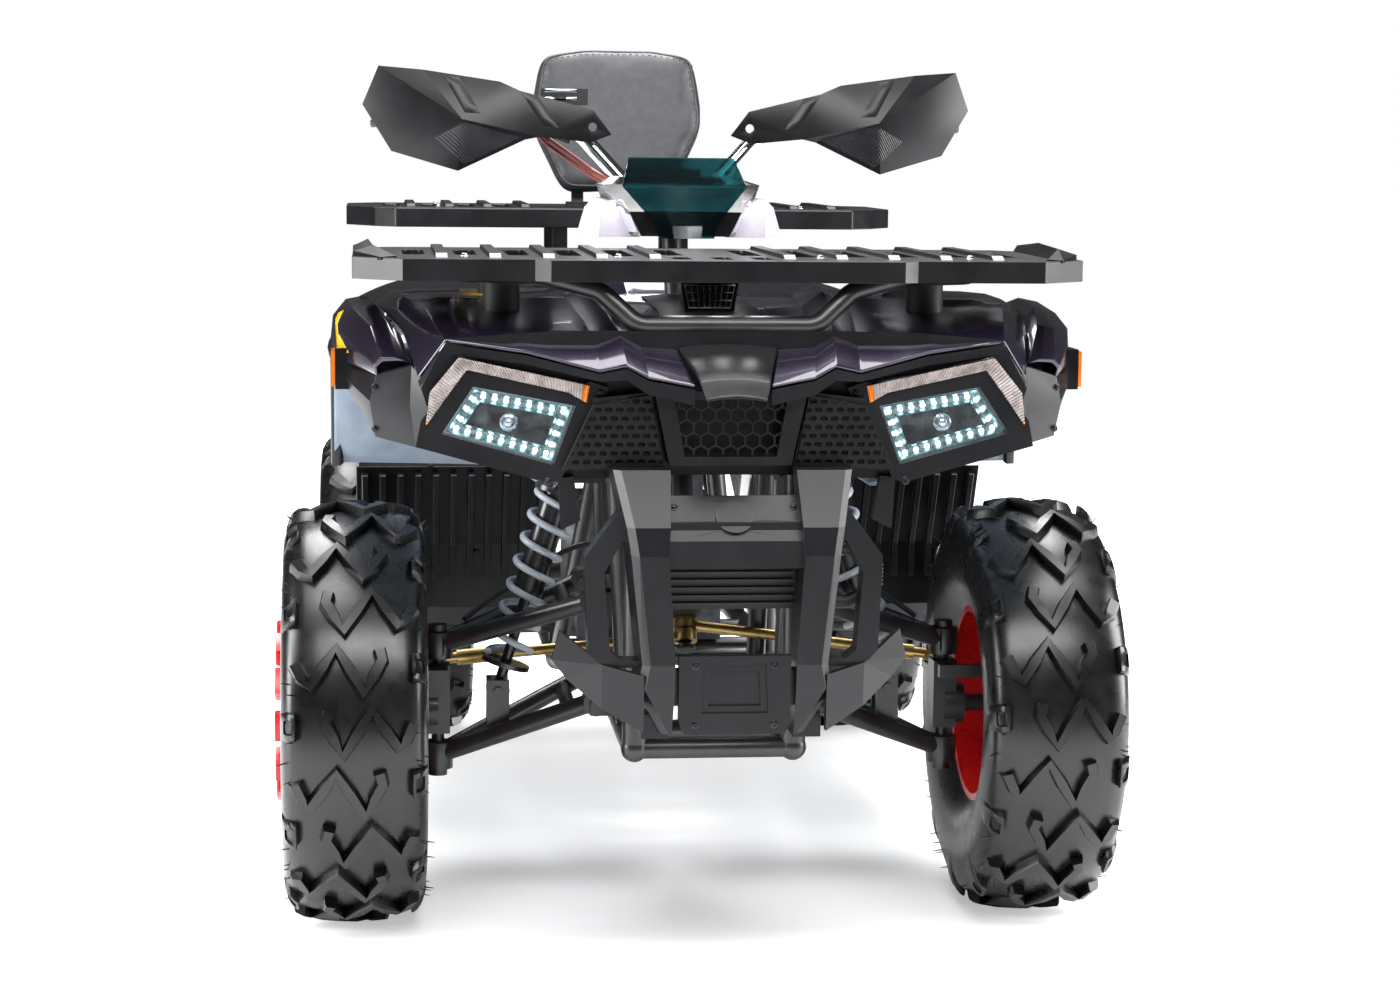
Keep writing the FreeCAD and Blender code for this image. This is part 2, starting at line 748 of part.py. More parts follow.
def knuckle():
    """The upright that carries a front wheel, with its spindle, steering arm and brake caliper."""
    centre = front_centre(1)
    post = box(kingpin_x - knuckle_half_width, kingpin_x + knuckle_half_width, -knuckle_half_depth,
               knuckle_half_depth, knuckle_low_z, knuckle_high_z)
    face_x = centre.x + front_rim_width / 2 - rim_disc_inset
    spindle = rod(vec(kingpin_x, 0, centre.z), vec(face_x - rim_disc_thickness + 2, 0, centre.z),
                  spindle_radius)
    boss = rod(vec(kingpin_x, 0, centre.z), vec(knuckle_face_x, 0, centre.z), hub_radius)
    arm = box(kingpin_x - steer_arm_width / 2, kingpin_x + steer_arm_width / 2, knuckle_half_depth - 4,
              steer_arm_reach + steer_arm_width / 2, steer_arm_z - steer_arm_thickness / 2,
              steer_arm_z + steer_arm_thickness / 2)
    pin = rod(vec(kingpin_x, steer_arm_reach, steer_arm_z),
              vec(kingpin_x, steer_arm_reach, steer_arm_z + steer_arm_thickness / 2 + tie_eye_height + 8),
              tie_pin_radius)
    pin_nut = rod(vec(kingpin_x, steer_arm_reach, steer_arm_z + steer_arm_thickness / 2 + tie_eye_height + 2),
                  vec(kingpin_x, steer_arm_reach, steer_arm_z + steer_arm_thickness / 2 + tie_eye_height + 9),
                  tie_pin_radius + 3)
    low_pin = rod(vec(kingpin_x, 0, lower_arm_eye_z - ball_nut_height - arm_eye_height / 2),
                  vec(kingpin_x, 0, knuckle_low_z + 2), ball_pin_radius)
    low_nut = rod(vec(kingpin_x, 0, lower_arm_eye_z - arm_eye_height / 2 - ball_nut_height),
                  vec(kingpin_x, 0, lower_arm_eye_z - arm_eye_height / 2 - 1), ball_nut_radius)
    high_pin = rod(vec(kingpin_x, 0, knuckle_high_z - 2),
                   vec(kingpin_x, 0, upper_arm_eye_z + arm_eye_height / 2 + ball_nut_height), ball_pin_radius)
    high_nut = rod(vec(kingpin_x, 0, upper_arm_eye_z + arm_eye_height / 2 + 1),
                   vec(kingpin_x, 0, upper_arm_eye_z + arm_eye_height / 2 + ball_nut_height), ball_nut_radius)
    disc_x = face_x - rim_disc_thickness - disc_offset - disc_thickness / 2
    grip_z = centre.z + disc_radius * caliper_radius_share
    grip = box(disc_x - caliper_width / 2, disc_x + caliper_width / 2, -caliper_offset_y,
               -caliper_offset_y - caliper_depth, grip_z - caliper_height * 0.62, grip_z + caliper_height * 0.28)
    slot = rod_along(vec(disc_x, 0, centre.z), x_axis, caliper_slot, disc_radius + 4)
    bridge = box(kingpin_x, disc_x - caliper_width / 2 + 4, -caliper_offset_y, -caliper_offset_y - 14,
                 grip_z - caliper_height * 0.62, grip_z - caliper_height * 0.62 + 16)
    web = box(kingpin_x - 12, kingpin_x + 12, 0, -caliper_offset_y - 14, grip_z - caliper_height * 0.62,
              grip_z - caliper_height * 0.62 + 16)
    return fuse([post, spindle, boss, arm, pin, pin_nut, low_pin, low_nut, high_pin, high_nut, bridge, web,
                 grip.cut(slot)])


def pitman_point(below):
    """A point on the line of the pitman pin, so far below the plate."""
    n = stem_direction()
    return stem_point(0) + vec(0, n.z, -n.y) * pitman_reach - n * below


def tie_rod(level):
    """A steering rod from the knuckle's arm in to the pitman pin; level 0 is the upper one of the two."""
    z = steer_arm_z + steer_arm_thickness / 2 + 1 + tie_eye_height / 2
    outer = vec(kingpin_x, steer_arm_reach, z)
    inner = pitman_point(tie_head_gap + tie_eye_height / 2 + level * (tie_eye_height + tie_eye_gap))
    outer_eye = rod_along(outer, z_axis, tie_eye_height, tie_eye_radius)
    inner_eye = rod_along(inner, stem_direction(), tie_eye_height, tie_pin_radius + tie_play + tie_eye_wall)
    bar = rod(outer, inner, tie_rod_radius)
    sleeve_out = outer + (inner - outer) * 0.08
    sleeve_in = outer + (inner - outer) * 0.24
    made = fuse([outer_eye, inner_eye, bar, rod(sleeve_out, sleeve_in, tie_rod_radius + 3)])
    holes = Part.makeCompound([
        rod_along(outer, z_axis, 4 * tie_eye_height, tie_pin_radius + running_gap),
        rod_along(inner, stem_direction(), 4 * tie_eye_height, tie_pin_radius + tie_play),
    ])
    return made.cut(holes)


def a_arm(inner_x, inner_z, spread, eye_z, bracket):
    """A tube arm from two frame pivots out to the ball joint."""
    eye_centre = vec(kingpin_x, 0, eye_z)
    eye = rod_along(eye_centre, z_axis, arm_eye_height, arm_eye_radius)
    legs = []
    for y in (-spread, spread):
        pivot = vec(inner_x, y, inner_z)
        legs += [rod(eye_centre, pivot, arm_tube_radius), rod_along(pivot, y_axis, arm_bush_length, arm_bush_radius)]
    share = arm_tie_share
    tie_ends = [eye_centre + (vec(inner_x, y, inner_z) - eye_centre) * share for y in (-spread, spread)]
    made = fuse([eye] + legs + [rod(tie_ends[0], tie_ends[1], arm_tube_radius * 0.8)])
    cuts = [rod_along(eye_centre, z_axis, 4 * arm_eye_height, ball_pin_radius + running_gap)]
    cuts += [rod_along(vec(inner_x, y, inner_z), y_axis, 2 * arm_bush_length, arm_pivot_radius + running_gap)
             for y in (-spread, spread)]
    if bracket:
        run = (shock_low_x - kingpin_x) / (inner_x - kingpin_x)
        at = [eye_centre + (vec(inner_x, y, inner_z) - eye_centre) * run for y in (-spread, spread)]
        cross = rod(at[0], at[1], arm_tube_radius)
        ears = []
        for side in (-1, 1):
            y = side * (shock_eye_width / 2 + seam_gap)
            ears.append(box(shock_low_x - 14, shock_low_x + 14, y, y + side * shock_ear_thickness,
                            at[0].z, shock_low_z + 14))
        pin = rod_along(vec(shock_low_x, 0, shock_low_z), y_axis, shock_eye_width + 2 * shock_ear_thickness + 10,
                        shock_pin_radius)
        made = fuse([made, cross] + ears + [pin])
    return made.cut(Part.makeCompound(cuts))


def spring_leg(low, high, eye_axis, width, body_share):
    """A damper between two eyes, and the coil spring round it."""
    axis = (high - low).normalize()
    length = low.distanceToPoint(high)
    eyes = [rod_along(p, eye_axis, width, shock_eye_radius) for p in (low, high)]
    low_seat = low + axis * 38
    high_seat = high - axis * 30
    body = rod(high - axis * 24, low + axis * (length * body_share), shock_body_radius)
    shaft = fuse([rod(low, high, shock_rod_radius), rod(high, high - axis * 30, shock_rod_radius + 5)])
    seats = [rod(low_seat - axis * shock_seat_thickness, low_seat, shock_seat_radius),
             rod(high_seat, high_seat + axis * shock_seat_thickness, shock_seat_radius)]
    damper = fuse(eyes + [body, shaft] + seats)
    holes = [rod_along(p, eye_axis, 2 * width, shock_pin_radius + running_gap) for p in (low, high)]
    damper = damper.cut(Part.makeCompound(holes))
    return damper, coil(low_seat, high_seat)


def coil(start, end):
    """A coil spring standing between two seats, its ends square to it."""
    length = start.distanceToPoint(end) - 2 * spring_wire_radius - 2 * seat_gap
    helix = Part.makeHelix(length / spring_turns, length, spring_radius)
    wire = Part.Wire(helix.Edges)
    circle = Part.Wire(Part.makeCircle(spring_wire_radius, vec(spring_radius, 0, 0), y_axis))
    made = wire.makePipeShell([circle], True, True)
    made.translate(vec(0, 0, spring_wire_radius + seat_gap))
    made.Placement = FreeCAD.Placement(start, FreeCAD.Rotation(z_axis, end - start)).multiply(made.Placement)
    return made


def frame():
    """The welded steel frame: lower rails, front towers, top rails and the brackets on them."""
    r = frame_tube_radius
    parts = []
    for s in (1, -1):
        low = [vec(s * rail_x, rail_front_y, rail_z), vec(s * rail_x, rail_bend_y, rail_z),
               vec(s * rail_wide_x, rail_wide_y, rail_z), vec(s * rail_wide_x, rail_rear_y, rail_z)]
        top = [vec(s * rail_x, rail_front_y, rail_z), vec(s * rail_x, rail_front_y, nose_frame_z - 60),
               vec(s * tower_x, -tower_y, top_rail_z), vec(s * tower_x, seat_rail_rear_y, top_rail_z)]
        parts += [rods_through(low, r), rods_through(top, r), ball(low[0], r * elbow_share), ball(low[-1], r * elbow_share)]
        for y in (-tower_y, tower_y):
            parts.append(rod(vec(s * rail_x, y, rail_z), vec(s * tower_x, y, top_rail_z), r * 0.85))
        parts.append(rod(vec(s * rail_wide_x, rail_rear_y, rail_z), vec(s * tower_x, rear_post_y + 60, top_rail_z), r))
        parts.append(rod(vec(s * rail_wide_x, rail_rear_y - 20, rail_z + 60),
                         vec(s * tower_x, seat_rail_rear_y - 40, top_rail_z), r * 0.8))
        parts.append(rod(vec(s * tower_x, tower_y, top_rail_z - 60), vec(s * rail_wide_x, rail_wide_y, rail_z), r * 0.8))
        for y in (-lower_arm_spread, lower_arm_spread):
            parts += arm_bracket(s, lower_arm_inner_x, y, lower_arm_inner_z, rail_x)
            parts += arm_bracket(s, upper_arm_inner_x, y, upper_arm_inner_z, tower_x_at(upper_arm_inner_z))
        parts.append(rod(vec(s * tower_x_at(upper_arm_inner_z), -tower_y, upper_arm_inner_z),
                         vec(s * tower_x_at(upper_arm_inner_z), tower_y, upper_arm_inner_z), r * 0.8))
        parts.append(rod(vec(s * tower_x_at(shock_high_z), -tower_y, shock_high_z),
                         vec(s * tower_x_at(shock_high_z), tower_y, shock_high_z), r * 0.8))
        for side in (-1, 1):
            y = side * (shock_eye_width / 2 + seam_gap)
            parts.append(box(s * (tower_x_at(shock_high_z) - 4), s * (shock_high_x + 14), y, y + side * shock_ear_thickness,
                             shock_high_z - 14, shock_high_z + 14))
        parts.append(rod_along(vec(s * shock_high_x, 0, shock_high_z), y_axis,
                               shock_eye_width + 2 * shock_ear_thickness + 10, shock_pin_radius))
        parts.append(box(s * (rail_wide_x - 12), s * (rail_wide_x - 2), swing_pivot_y - 26, swing_pivot_y + 26,
                         rail_z, swing_pivot_z + 24))
    for y in (rail_front_y, -tower_y, tower_y):
        parts.append(rod(vec(-rail_x, y, rail_z), vec(rail_x, y, rail_z), r * cross_tube_share))
    for y in (rail_wide_y,) + engine_mount_ys:
        parts.append(rod(vec(-rail_wide_x, y, rail_z), vec(rail_wide_x, y, rail_z), r * cross_tube_share))
    for y in (-tower_y, tank_post_y, rear_shock_high_y + 60, seat_rail_rear_y):
        parts.append(rod(vec(-tower_x, y, top_rail_z), vec(tower_x, y, top_rail_z), r * cross_tube_share))
    for z in bumper_mount_zs:
        for s in (1, -1):
            parts.append(rod(vec(s * rail_x, rail_front_y, z), vec(s * rail_x, bumper_back_y, z), r * 0.8))
    for y in foot_bar_ys:
        for s in (1, -1):
            parts.append(rod(vec(s * rail_wide_x, y, foot_bar_z), vec(s * foot_bar_reach, y, foot_bar_z), r * 0.8))
            parts.append(box(s * (rail_wide_x - 8), s * (rail_wide_x + 8), y - 12, y + 12, rail_z, foot_bar_z))
        parts += [box(s * (tower_x + 6), s * (side_panel_x - seat_gap), y - 10, y + 10, top_rail_z - 8, top_rail_z + 8)
                  for s in (1, -1)]
    parts += stem_bearings()
    parts += rear_shock_ears()
    made = fuse(parts)
    return made.cut(Part.makeCompound([stem_line(-overrun, stem_length() + overrun, stem_radius + running_gap)]))


def tower_x_at(z):
    return rail_x + (tower_x - rail_x) * (z - rail_z) / (top_rail_z - rail_z)


def arm_bracket(s, x, y, z, from_x):
    """Two ears and a pivot bolt for one end of an arm."""
    half = arm_bush_length / 2 + seam_gap
    made = []
    for side in (-1, 1):
        near = y + side * half
        made.append(box(s * (from_x - 6), s * (x + 8), near, near + side * 6, z - 14, z + 14))
    made.append(rod_along(vec(s * x, y, z), y_axis, 2 * half + 20, arm_pivot_radius))
    return made


def stem_direction():
    return vec(0, stem_high_y - stem_low_y, stem_high_z - stem_low_z).normalize()


def stem_length():
    return vec(0, stem_low_y, stem_low_z).distanceToPoint(vec(0, stem_high_y, stem_high_z))


def stem_point(along):
    return vec(0, stem_low_y, stem_low_z) + stem_direction() * along


def stem_line(start, end, radius):
    return rod(stem_point(start), stem_point(end), radius)


def stem_bearings():
    """The lower and upper rings that the steering stem turns in, with their stays."""
    made = []
    low = pitman_thickness + 4
    made.append(stem_line(low, low + stem_bearing_length, stem_bearing_radius))
    high = stem_length() * stem_high_bearing_share
    made.append(stem_line(high, high + stem_bearing_length, stem_bearing_radius))
    low_mid = stem_point(low + stem_bearing_length / 2)
    high_mid = stem_point(high + stem_bearing_length / 2)
    for s in (1, -1):
        made.append(rod(low_mid + vec(s * 17, 0, 0), vec(s * tower_x_at(low_mid.z), tower_y, low_mid.z), 9))
        made.append(rod(high_mid + vec(s * 17, 0, 0), vec(s * tower_x, high_mid.y, top_rail_z), 9))
    return made


def rear_shock_ears():
    """The upper ears of the rear spring leg, on the cross tube ahead of it."""
    y, z = rear_shock_high_y, rear_shock_high_z
    made = []
    for side in (-1, 1):
        near = side * (shock_eye_width / 2 + seam_gap)
        made.append(prism_x([(y - 14, z - 14), (y + 14, z - 14), (y + 66, top_rail_z), (y + 50, top_rail_z + 10),
                             (y - 14, z + 14)], near, near + side * shock_ear_thickness))
    made.append(rod_along(vec(0, y, z), x_axis, shock_eye_width + 2 * shock_ear_thickness + 8, shock_pin_radius))
    return made


def engine():
    """The engine as one plain block: crankcase, cylinder leaning forwards, and the drive cover."""
    case = box(-engine_half_width, engine_half_width - 30, engine_front_y, engine_rear_y, engine_low_z, engine_low_z + 190)
    cylinder = box(-62, 62, engine_front_y + 10, engine_front_y + 140, engine_low_z + 190, engine_low_z + 320)
    cover = rod(vec(-engine_half_width - 14, engine_front_y + 90, engine_low_z + 100),
                vec(-engine_half_width + 2, engine_front_y + 90, engine_low_z + 100), 78)
    shaft = rod(vec(engine_half_width - 32, chain_front_y, swing_pivot_z),
                vec(chain_x + 9, chain_front_y, swing_pivot_z), 12)
    sprocket = rod(vec(chain_x - 4, chain_front_y, swing_pivot_z), vec(chain_x + 4, chain_front_y, swing_pivot_z),
                   chain_front_radius - chain_thickness / 2 - seat_gap)
    foot_z = rail_z + frame_tube_radius * cross_tube_share + seat_gap
    feet = [box(-engine_half_width + 8, engine_half_width - 38, y - 14, y + 14, foot_z, engine_low_z + 14)
            for y in engine_mount_ys]
    return fuse([case, cylinder, cover, shaft, sprocket] + feet)


def chain():
    """The drive chain as a plain closed band round both sprockets."""
    a = vec(0, chain_front_y, swing_pivot_z)
    b = vec(0, wheelbase, rear_tyre_radius)
    lean = math.atan2(b.z - a.z, b.y - a.y)
    spread = math.acos((chain_front_radius - chain_rear_radius) / a.distanceToPoint(b))

    def band(extra):
        ring = []
        arcs = ((b, chain_rear_radius + extra, -spread, spread, chain_rear_facets),
                (a, chain_front_radius + extra, spread, 2 * math.pi - spread, chain_front_facets))
        for centre, radius, start, end, count in arcs:
            step = (end - start) / count
            for n in range(count + 1):
                reach = radius / math.cos(step / 2) if 0 < n < count else radius
                angle = lean + start + step * n
                ring.append((centre.y + reach * math.cos(angle), centre.z + reach * math.sin(angle)))
        return prism_x(ring, chain_x - chain_width / 2, chain_x + chain_width / 2)

    return band(chain_thickness / 2).cut(band(-chain_thickness / 2))


def swing_arm():
    """The rear arm from its frame pivot to the axle carrier, with the caliper on it."""
    pivot = rod_along(vec(0, swing_pivot_y, swing_pivot_z), x_axis, 2 * (rail_wide_x - 12 - seam_gap), 17)
    carrier = rod_along(vec(0, wheelbase, rear_tyre_radius), x_axis, carrier_length, carrier_radius)
    legs = []
    for s in (1, -1):
        legs.append(polyhedron([
            vec(s * 44, swing_pivot_y, swing_pivot_z - 17), vec(s * 72, swing_pivot_y, swing_pivot_z - 17),
            vec(s * 72, wheelbase, rear_tyre_radius - 20), vec(s * 44, wheelbase, rear_tyre_radius - 20),
            vec(s * 44, swing_pivot_y, swing_pivot_z + 17), vec(s * 72, swing_pivot_y, swing_pivot_z + 17),
            vec(s * 72, wheelbase, rear_tyre_radius + 20), vec(s * 44, wheelbase, rear_tyre_radius + 20),
        ], [(0, 3, 2, 1), (4, 5, 6, 7), (0, 1, 5, 4), (1, 2, 6, 5), (2, 3, 7, 6), (3, 0, 4, 7)]))
    share = (rear_shock_low_y - swing_pivot_y) / (wheelbase - swing_pivot_y)
    z = swing_pivot_z + (rear_tyre_radius - swing_pivot_z) * share
    cross = rod(vec(-58, rear_shock_low_y, z), vec(58, rear_shock_low_y, z), 14)
    ears = []
    for side in (-1, 1):
        near = side * (shock_eye_width / 2 + seam_gap)
        ears.append(box(near, near + side * shock_ear_thickness, rear_shock_low_y - 14, rear_shock_low_y + 14,
                        z, rear_shock_low_z + 14))
    pin = rod_along(vec(0, rear_shock_low_y, rear_shock_low_z), x_axis,
                    shock_eye_width + 2 * shock_ear_thickness + 8, shock_pin_radius)
    grip = box(-brake_disc_x - caliper_width / 2, -brake_disc_x + caliper_width / 2, wheelbase - 118, wheelbase - 62,
               rear_tyre_radius - 30, rear_tyre_radius + 34)
    slot = rod_along(vec(-brake_disc_x, wheelbase, rear_tyre_radius), x_axis, caliper_slot, rear_disc_radius + 4)
    stay = box(-brake_disc_x + caliper_width / 2 - 4, -58, wheelbase - 112, wheelbase - 90,
               rear_tyre_radius - 8, rear_tyre_radius + 12)
    made = fuse([pivot, carrier, cross, pin, grip.cut(slot), stay] + legs + ears)
    bore = rod_along(vec(0, wheelbase, rear_tyre_radius), x_axis, carrier_length * 2, axle_radius + running_gap)
    return made.cut(bore)


def rear_axle():
    """The live rear axle with its sprocket, brake disc and wheel hubs."""
    centre = vec(0, wheelbase, rear_tyre_radius)
    face_x = rear_track / 2 + rear_rim_width / 2 - rim_disc_inset
    back_x = face_x - rim_disc_thickness
    shaft = rod_along(centre, x_axis, 2 * (back_x - 2), axle_radius)
    parts = [shaft]
    for s in (1, -1):
        parts.append(rod(centre + vec(s * (back_x - hub_flange_thickness), 0, 0), centre + vec(s * back_x, 0, 0), hub_flange_radius))
        parts.append(rod(centre + vec(s * (back_x - 90), 0, 0), centre + vec(s * back_x, 0, 0), hub_radius + 4))
        parts.append(rod(centre + vec(s * (back_x - 1), 0, 0), centre + vec(s * (face_x + hub_cap_length), 0, 0), hub_cap_radius))
        parts.append(rod(centre + vec(s * (carrier_length / 2 + 1), 0, 0), centre + vec(s * (carrier_length / 2 + 9), 0, 0), carrier_radius - 6))
    parts.append(rod(centre + vec(chain_x - 4, 0, 0), centre + vec(chain_x + 4, 0, 0),
                     chain_rear_radius - chain_thickness / 2 - 1.5))
    parts.append(rod(centre + vec(chain_x - 14, 0, 0), centre + vec(chain_x + 14, 0, 0), 34))
    parts.append(rod(centre + vec(-brake_disc_x - disc_thickness / 2, 0, 0), centre + vec(-brake_disc_x + disc_thickness / 2, 0, 0), rear_disc_radius))
    parts.append(rod(centre + vec(-brake_disc_x - 14, 0, 0), centre + vec(-brake_disc_x + 14, 0, 0), 34))
    return fuse(parts)


def rear_spring_leg():
    low = vec(0, rear_shock_low_y, rear_shock_low_z)
    high = vec(0, rear_shock_high_y, rear_shock_high_z)
    return spring_leg(low, high, x_axis, shock_eye_width, shock_body_share)


def tow_hitch():
    """The towing plate behind the axle carrier, with its pin hole."""
    front_y = wheelbase + carrier_radius
    plate = box(-hitch_plate_width / 2, hitch_plate_width / 2, front_y, front_y + hitch_plate_length,
                hitch_z, hitch_z + hitch_plate_thickness)
    stem = box(-30, 30, front_y - 14, front_y + 10, hitch_z - 62, hitch_z + hitch_plate_thickness)
    hole = rod_along(vec(0, front_y + hitch_hole_reach, hitch_z), z_axis, 6 * hitch_plate_thickness, hitch_hole_radius)
    clear = rod_along(vec(0, wheelbase, rear_tyre_radius), x_axis, hitch_plate_width * 2, carrier_radius + seat_gap)
    return fuse([plate, stem]).cut(Part.makeCompound([hole, clear]))


def largest(shape):
    """The biggest solid of what a cut leaves."""
    return max(shape.Solids, key=lambda one: one.Volume)


def panel(rows, shift):
    """A left-hand curved body panel and its mirror image as one piece each side."""
    return both_sides(smooth_skin(rows, shift))


def hood():
    """The painted hood of the left side, creased along its length and folded down at its outer front edge."""
    return folded_rows(hood_rows, hood_shift)


def front_fender():
    """The painted top and side of the left front fender, beside the hood."""
    return folded_rows(fender_rows, fender_shift)


def front_body():
    """The painted hood and fenders, one of each on either side of the centre strip."""
    return Part.makeCompound([both_sides(hood()), both_sides(front_fender().cut(hood()))])


def hood_centre():
    """The textured centre strip of the hood, down to the nose lip."""
    rows = [[(x * half, y, z + rise) for x, rise in nose_across] for y, z, half in nose_rows]
    return folded_rows(rows, (0, 0, -panel_thickness))


def fender_flares():
    """The matt outer edges of the front fenders, over and behind each front wheel."""
    flare = folded_rows(flare_rows, flare_shift)
    return both_sides(largest(flare.cut(Part.makeCompound([hood(), front_fender()]))))


def arch_liners():
    """The inner liners over the front wheels, each out to its flare and down behind the wheel."""
    liner = folded_rows(liner_rows, liner_shift)
    return both_sides(largest(liner.cut(Part.makeCompound([fender_flares(), front_fender()]))))


def footwells():
    """The foot boards: floor, ribbed front wall and rear wall, one moulding each side."""
    x0, x1 = footwell_inner_x, footwell_outer_x
    t = footwell_thickness
    floor_z = foot_bar_z + frame_tube_radius * 0.8
    profile = [
        (footwell_front_y - 58, 545), (footwell_front_y, 430), (footwell_front_y + 6, floor_z + 30),
        (footwell_front_y + 34, floor_z), (footwell_rear_y - 40, floor_z), (footwell_rear_y, floor_z + 40),
        (footwell_rear_y + 34, 524),
    ]
    inner = [(y, z + t) if 2 < n < 5 else (y + (t if n < 4 else -t), z) for n, (y, z) in enumerate(profile)]
    inner[3] = (profile[3][0] + t * 0.6, floor_z + t)
    inner[4] = (profile[4][0] - t * 0.6, floor_z + t)
    shell = prism_x(profile + inner[::-1], x0, x1)
    side = prism_x([(footwell_front_y + 10, floor_z + t - 1), (footwell_rear_y - 8, floor_z + t - 1),
                    (footwell_rear_y - 60, floor_z + 52), (footwell_front_y + 60, floor_z + 52)], x0, x0 + t)
    treads = [box(x0 + 40, x1 - 20, y, y + 12, floor_z + t - 1, floor_z + t + 8)
              for y in [footwell_front_y + 90 + 60 * n for n in range(6)]]
    high, low = profile[0], profile[1]
    ribs = [prism_x([(low[0] - 9, low[1] - 46), (low[0] + 2, low[1] - 46), (low[0] + 2, low[1]),
                     (high[0] + 4, high[1] - 8), (high[0] - 8, high[1] - 12), (low[0] - 9, low[1])], x, x + 8)
            for x in [x0 + 12 + 24 * n for n in range(10)]]
    return both_sides(fuse([shell, side] + treads + ribs))


def fascia():
    """The matt panel behind the lamps and the grille, with the bands round the lamps and the side fields."""
    outline = list(fascia_outline)
    outline += [(-x, z) for x, z in outline[::-1]]
    plate = prism_y(outline, fascia_front_y, fascia_front_y + panel_thickness)
    lamp = prism_y(lamp_frame, fascia_front_y - overrun, fascia_front_y + overrun)
    over = Part.makeCompound([front_body(), hood_centre(), fender_flares()])
    back = largest(plate.cut(both_sides(lamp)).cut(over))
    front = lamp_front_y
    band = fuse([prism_y(lamp_band, front, fascia_front_y), prism_y(band_leg, front, fascia_front_y)])
    band = largest(band.cut(Part.makeCompound([lamp, prism_y(strip_lamp, front - 1, fascia_front_y + 1), over])))
    field = prism_y(side_field, front - panel_thickness - 8, front - 8)
    wall = prism_y([side_field[1], side_field[2], (side_field[2][0] + 6, side_field[2][1]),
                    (side_field[1][0] + 6, side_field[1][1])], front - 12, fascia_front_y)
    holes = []
    long, wide = field_hole
    for row in range(4):
        z = side_field[0][1] - 16 - 20 * row
        for n in range(3):
            x = side_field[0][0] + 6 + 17 * n - 5 * row
            holes.append(fuse([box(x, x + long, front - overrun, front, z - wide, z + wide)]
                              + [rod_along(vec(e, front - 10, z), y_axis, overrun, wide) for e in (x, x + long)]))
    sides = fuse([band, field.cut(Part.makeCompound(holes)), wall])
    sides = largest(sides.cut(Part.makeCompound([over, brow_strips()])))
    return Part.makeCompound([back, both_sides(sides)])


def brow_strips():
    """The strip over each headlamp, under the front edge of the hood."""
    top = [(x, y, z - panel_thickness - 1.5) for x, y, z in hood_rows[0]]
    low = [(x - 2 * (n == len(top) - 1), y, z - height)
           for n, ((x, y, z), height) in enumerate(zip(top, brow_heights))]
    return both_sides(folded_rows([low, top], (0, brow_depth, 0)).cut(hood()))


def grille():
    """The centre grille: a frame round a honeycomb, with side walls back to the fascia."""
    front = grille_front_y
    rear = fascia_front_y - seat_gap
    (outer_top, z1), (outer_low, z0) = grille_outer
    (inner_top, z3), (inner_low, z2) = grille_inner
    outer = [(-outer_top, z1), (outer_top, z1), (outer_low, z0), (-outer_low, z0)]
    inner = [(-inner_top, z3), (inner_top, z3), (inner_low, z2), (-inner_low, z2)]
    surround = prism_y(outer, front, front + 14).cut(prism_y(inner, front - 1, front + 15))
    cells = []
    reach = (honeycomb_pitch - honeycomb_wall) / math.sqrt(3)
    for row in range(-4, 5):
        for n in range(-5, 6):
            x = honeycomb_pitch * (n + (row % 2) / 2)
            z = (z2 + z3) / 2 + row * honeycomb_pitch * math.sqrt(3) / 2
            corners = [(x + reach * math.sin(math.radians(60 * k)), z + reach * math.cos(math.radians(60 * k)))
                       for k in range(6)]
            if min(c[1] for c in corners) < z3 and max(c[1] for c in corners) > z2 and abs(x) < inner_top + reach:
                cells.append(prism_y(corners, front, front + 14))
    sheet = prism_y([(-inner_top - 1, z3 + 1), (inner_top + 1, z3 + 1), (inner_low + 1, z2 - 1),
                     (-inner_low - 1, z2 - 1)], front + 5, front + 9).cut(Part.makeCompound(cells))
    walls = [prism_y([(s * outer_top, z1), (s * (outer_top - 5), z1), (s * (outer_low - 5), z0),
                      (s * outer_low, z0)], front + 13, rear) for s in (1, -1)]
    made = fuse([surround, sheet] + walls)
    return largest(made.cut(Part.makeCompound([brow_strips(), hood_centre(), both_sides(hood()), fascia()])))


def lamp_outline(inset):
    """The polygon of the left headlamp's glass as (x, z), drawn in by an inset."""
    cx = sum(p[0] for p in lamp_glass) / len(lamp_glass)
    cz = sum(p[1] for p in lamp_glass) / len(lamp_glass)
    made = []
    for x, z in lamp_glass:
        d = math.hypot(x - cx, z - cz)
        made.append((x + (cx - x) * inset / d, z + (cz - z) * inset / d))
    return made


def headlamp_housing():
    outer = prism_y(lamp_frame, lamp_front_y, lamp_front_y + 40)
    hollow = prism_y(lamp_outline(0), lamp_front_y - 1, lamp_front_y + 34)
    return outer.cut(hollow)


def headlamp_reflector():
    plate = prism_y(lamp_outline(seat_gap), lamp_front_y + 20, lamp_front_y + 34)
    bowl = Part.makeCone(lamp_bowl_radius, lamp_bowl_radius * 0.4, lamp_bowl_depth,
                         vec(lamp_bowl_x, lamp_front_y + 19, lamp_bowl_z), y_axis)
    return plate.cut(bowl)


def headlamp_lens():
    """The glass of a headlamp, and the strip lamp over it."""
    glass = prism_y(lamp_outline(seat_gap), lamp_front_y + 2, lamp_front_y + 6)
    strip = prism_y(strip_lamp, lamp_front_y - 2, fascia_front_y - seat_gap)
    strip = strip.cut(Part.makeCompound([hood(), fender_flares(), brow_strips(), front_fender()]))
    return Part.makeCompound([glass, largest(strip)])


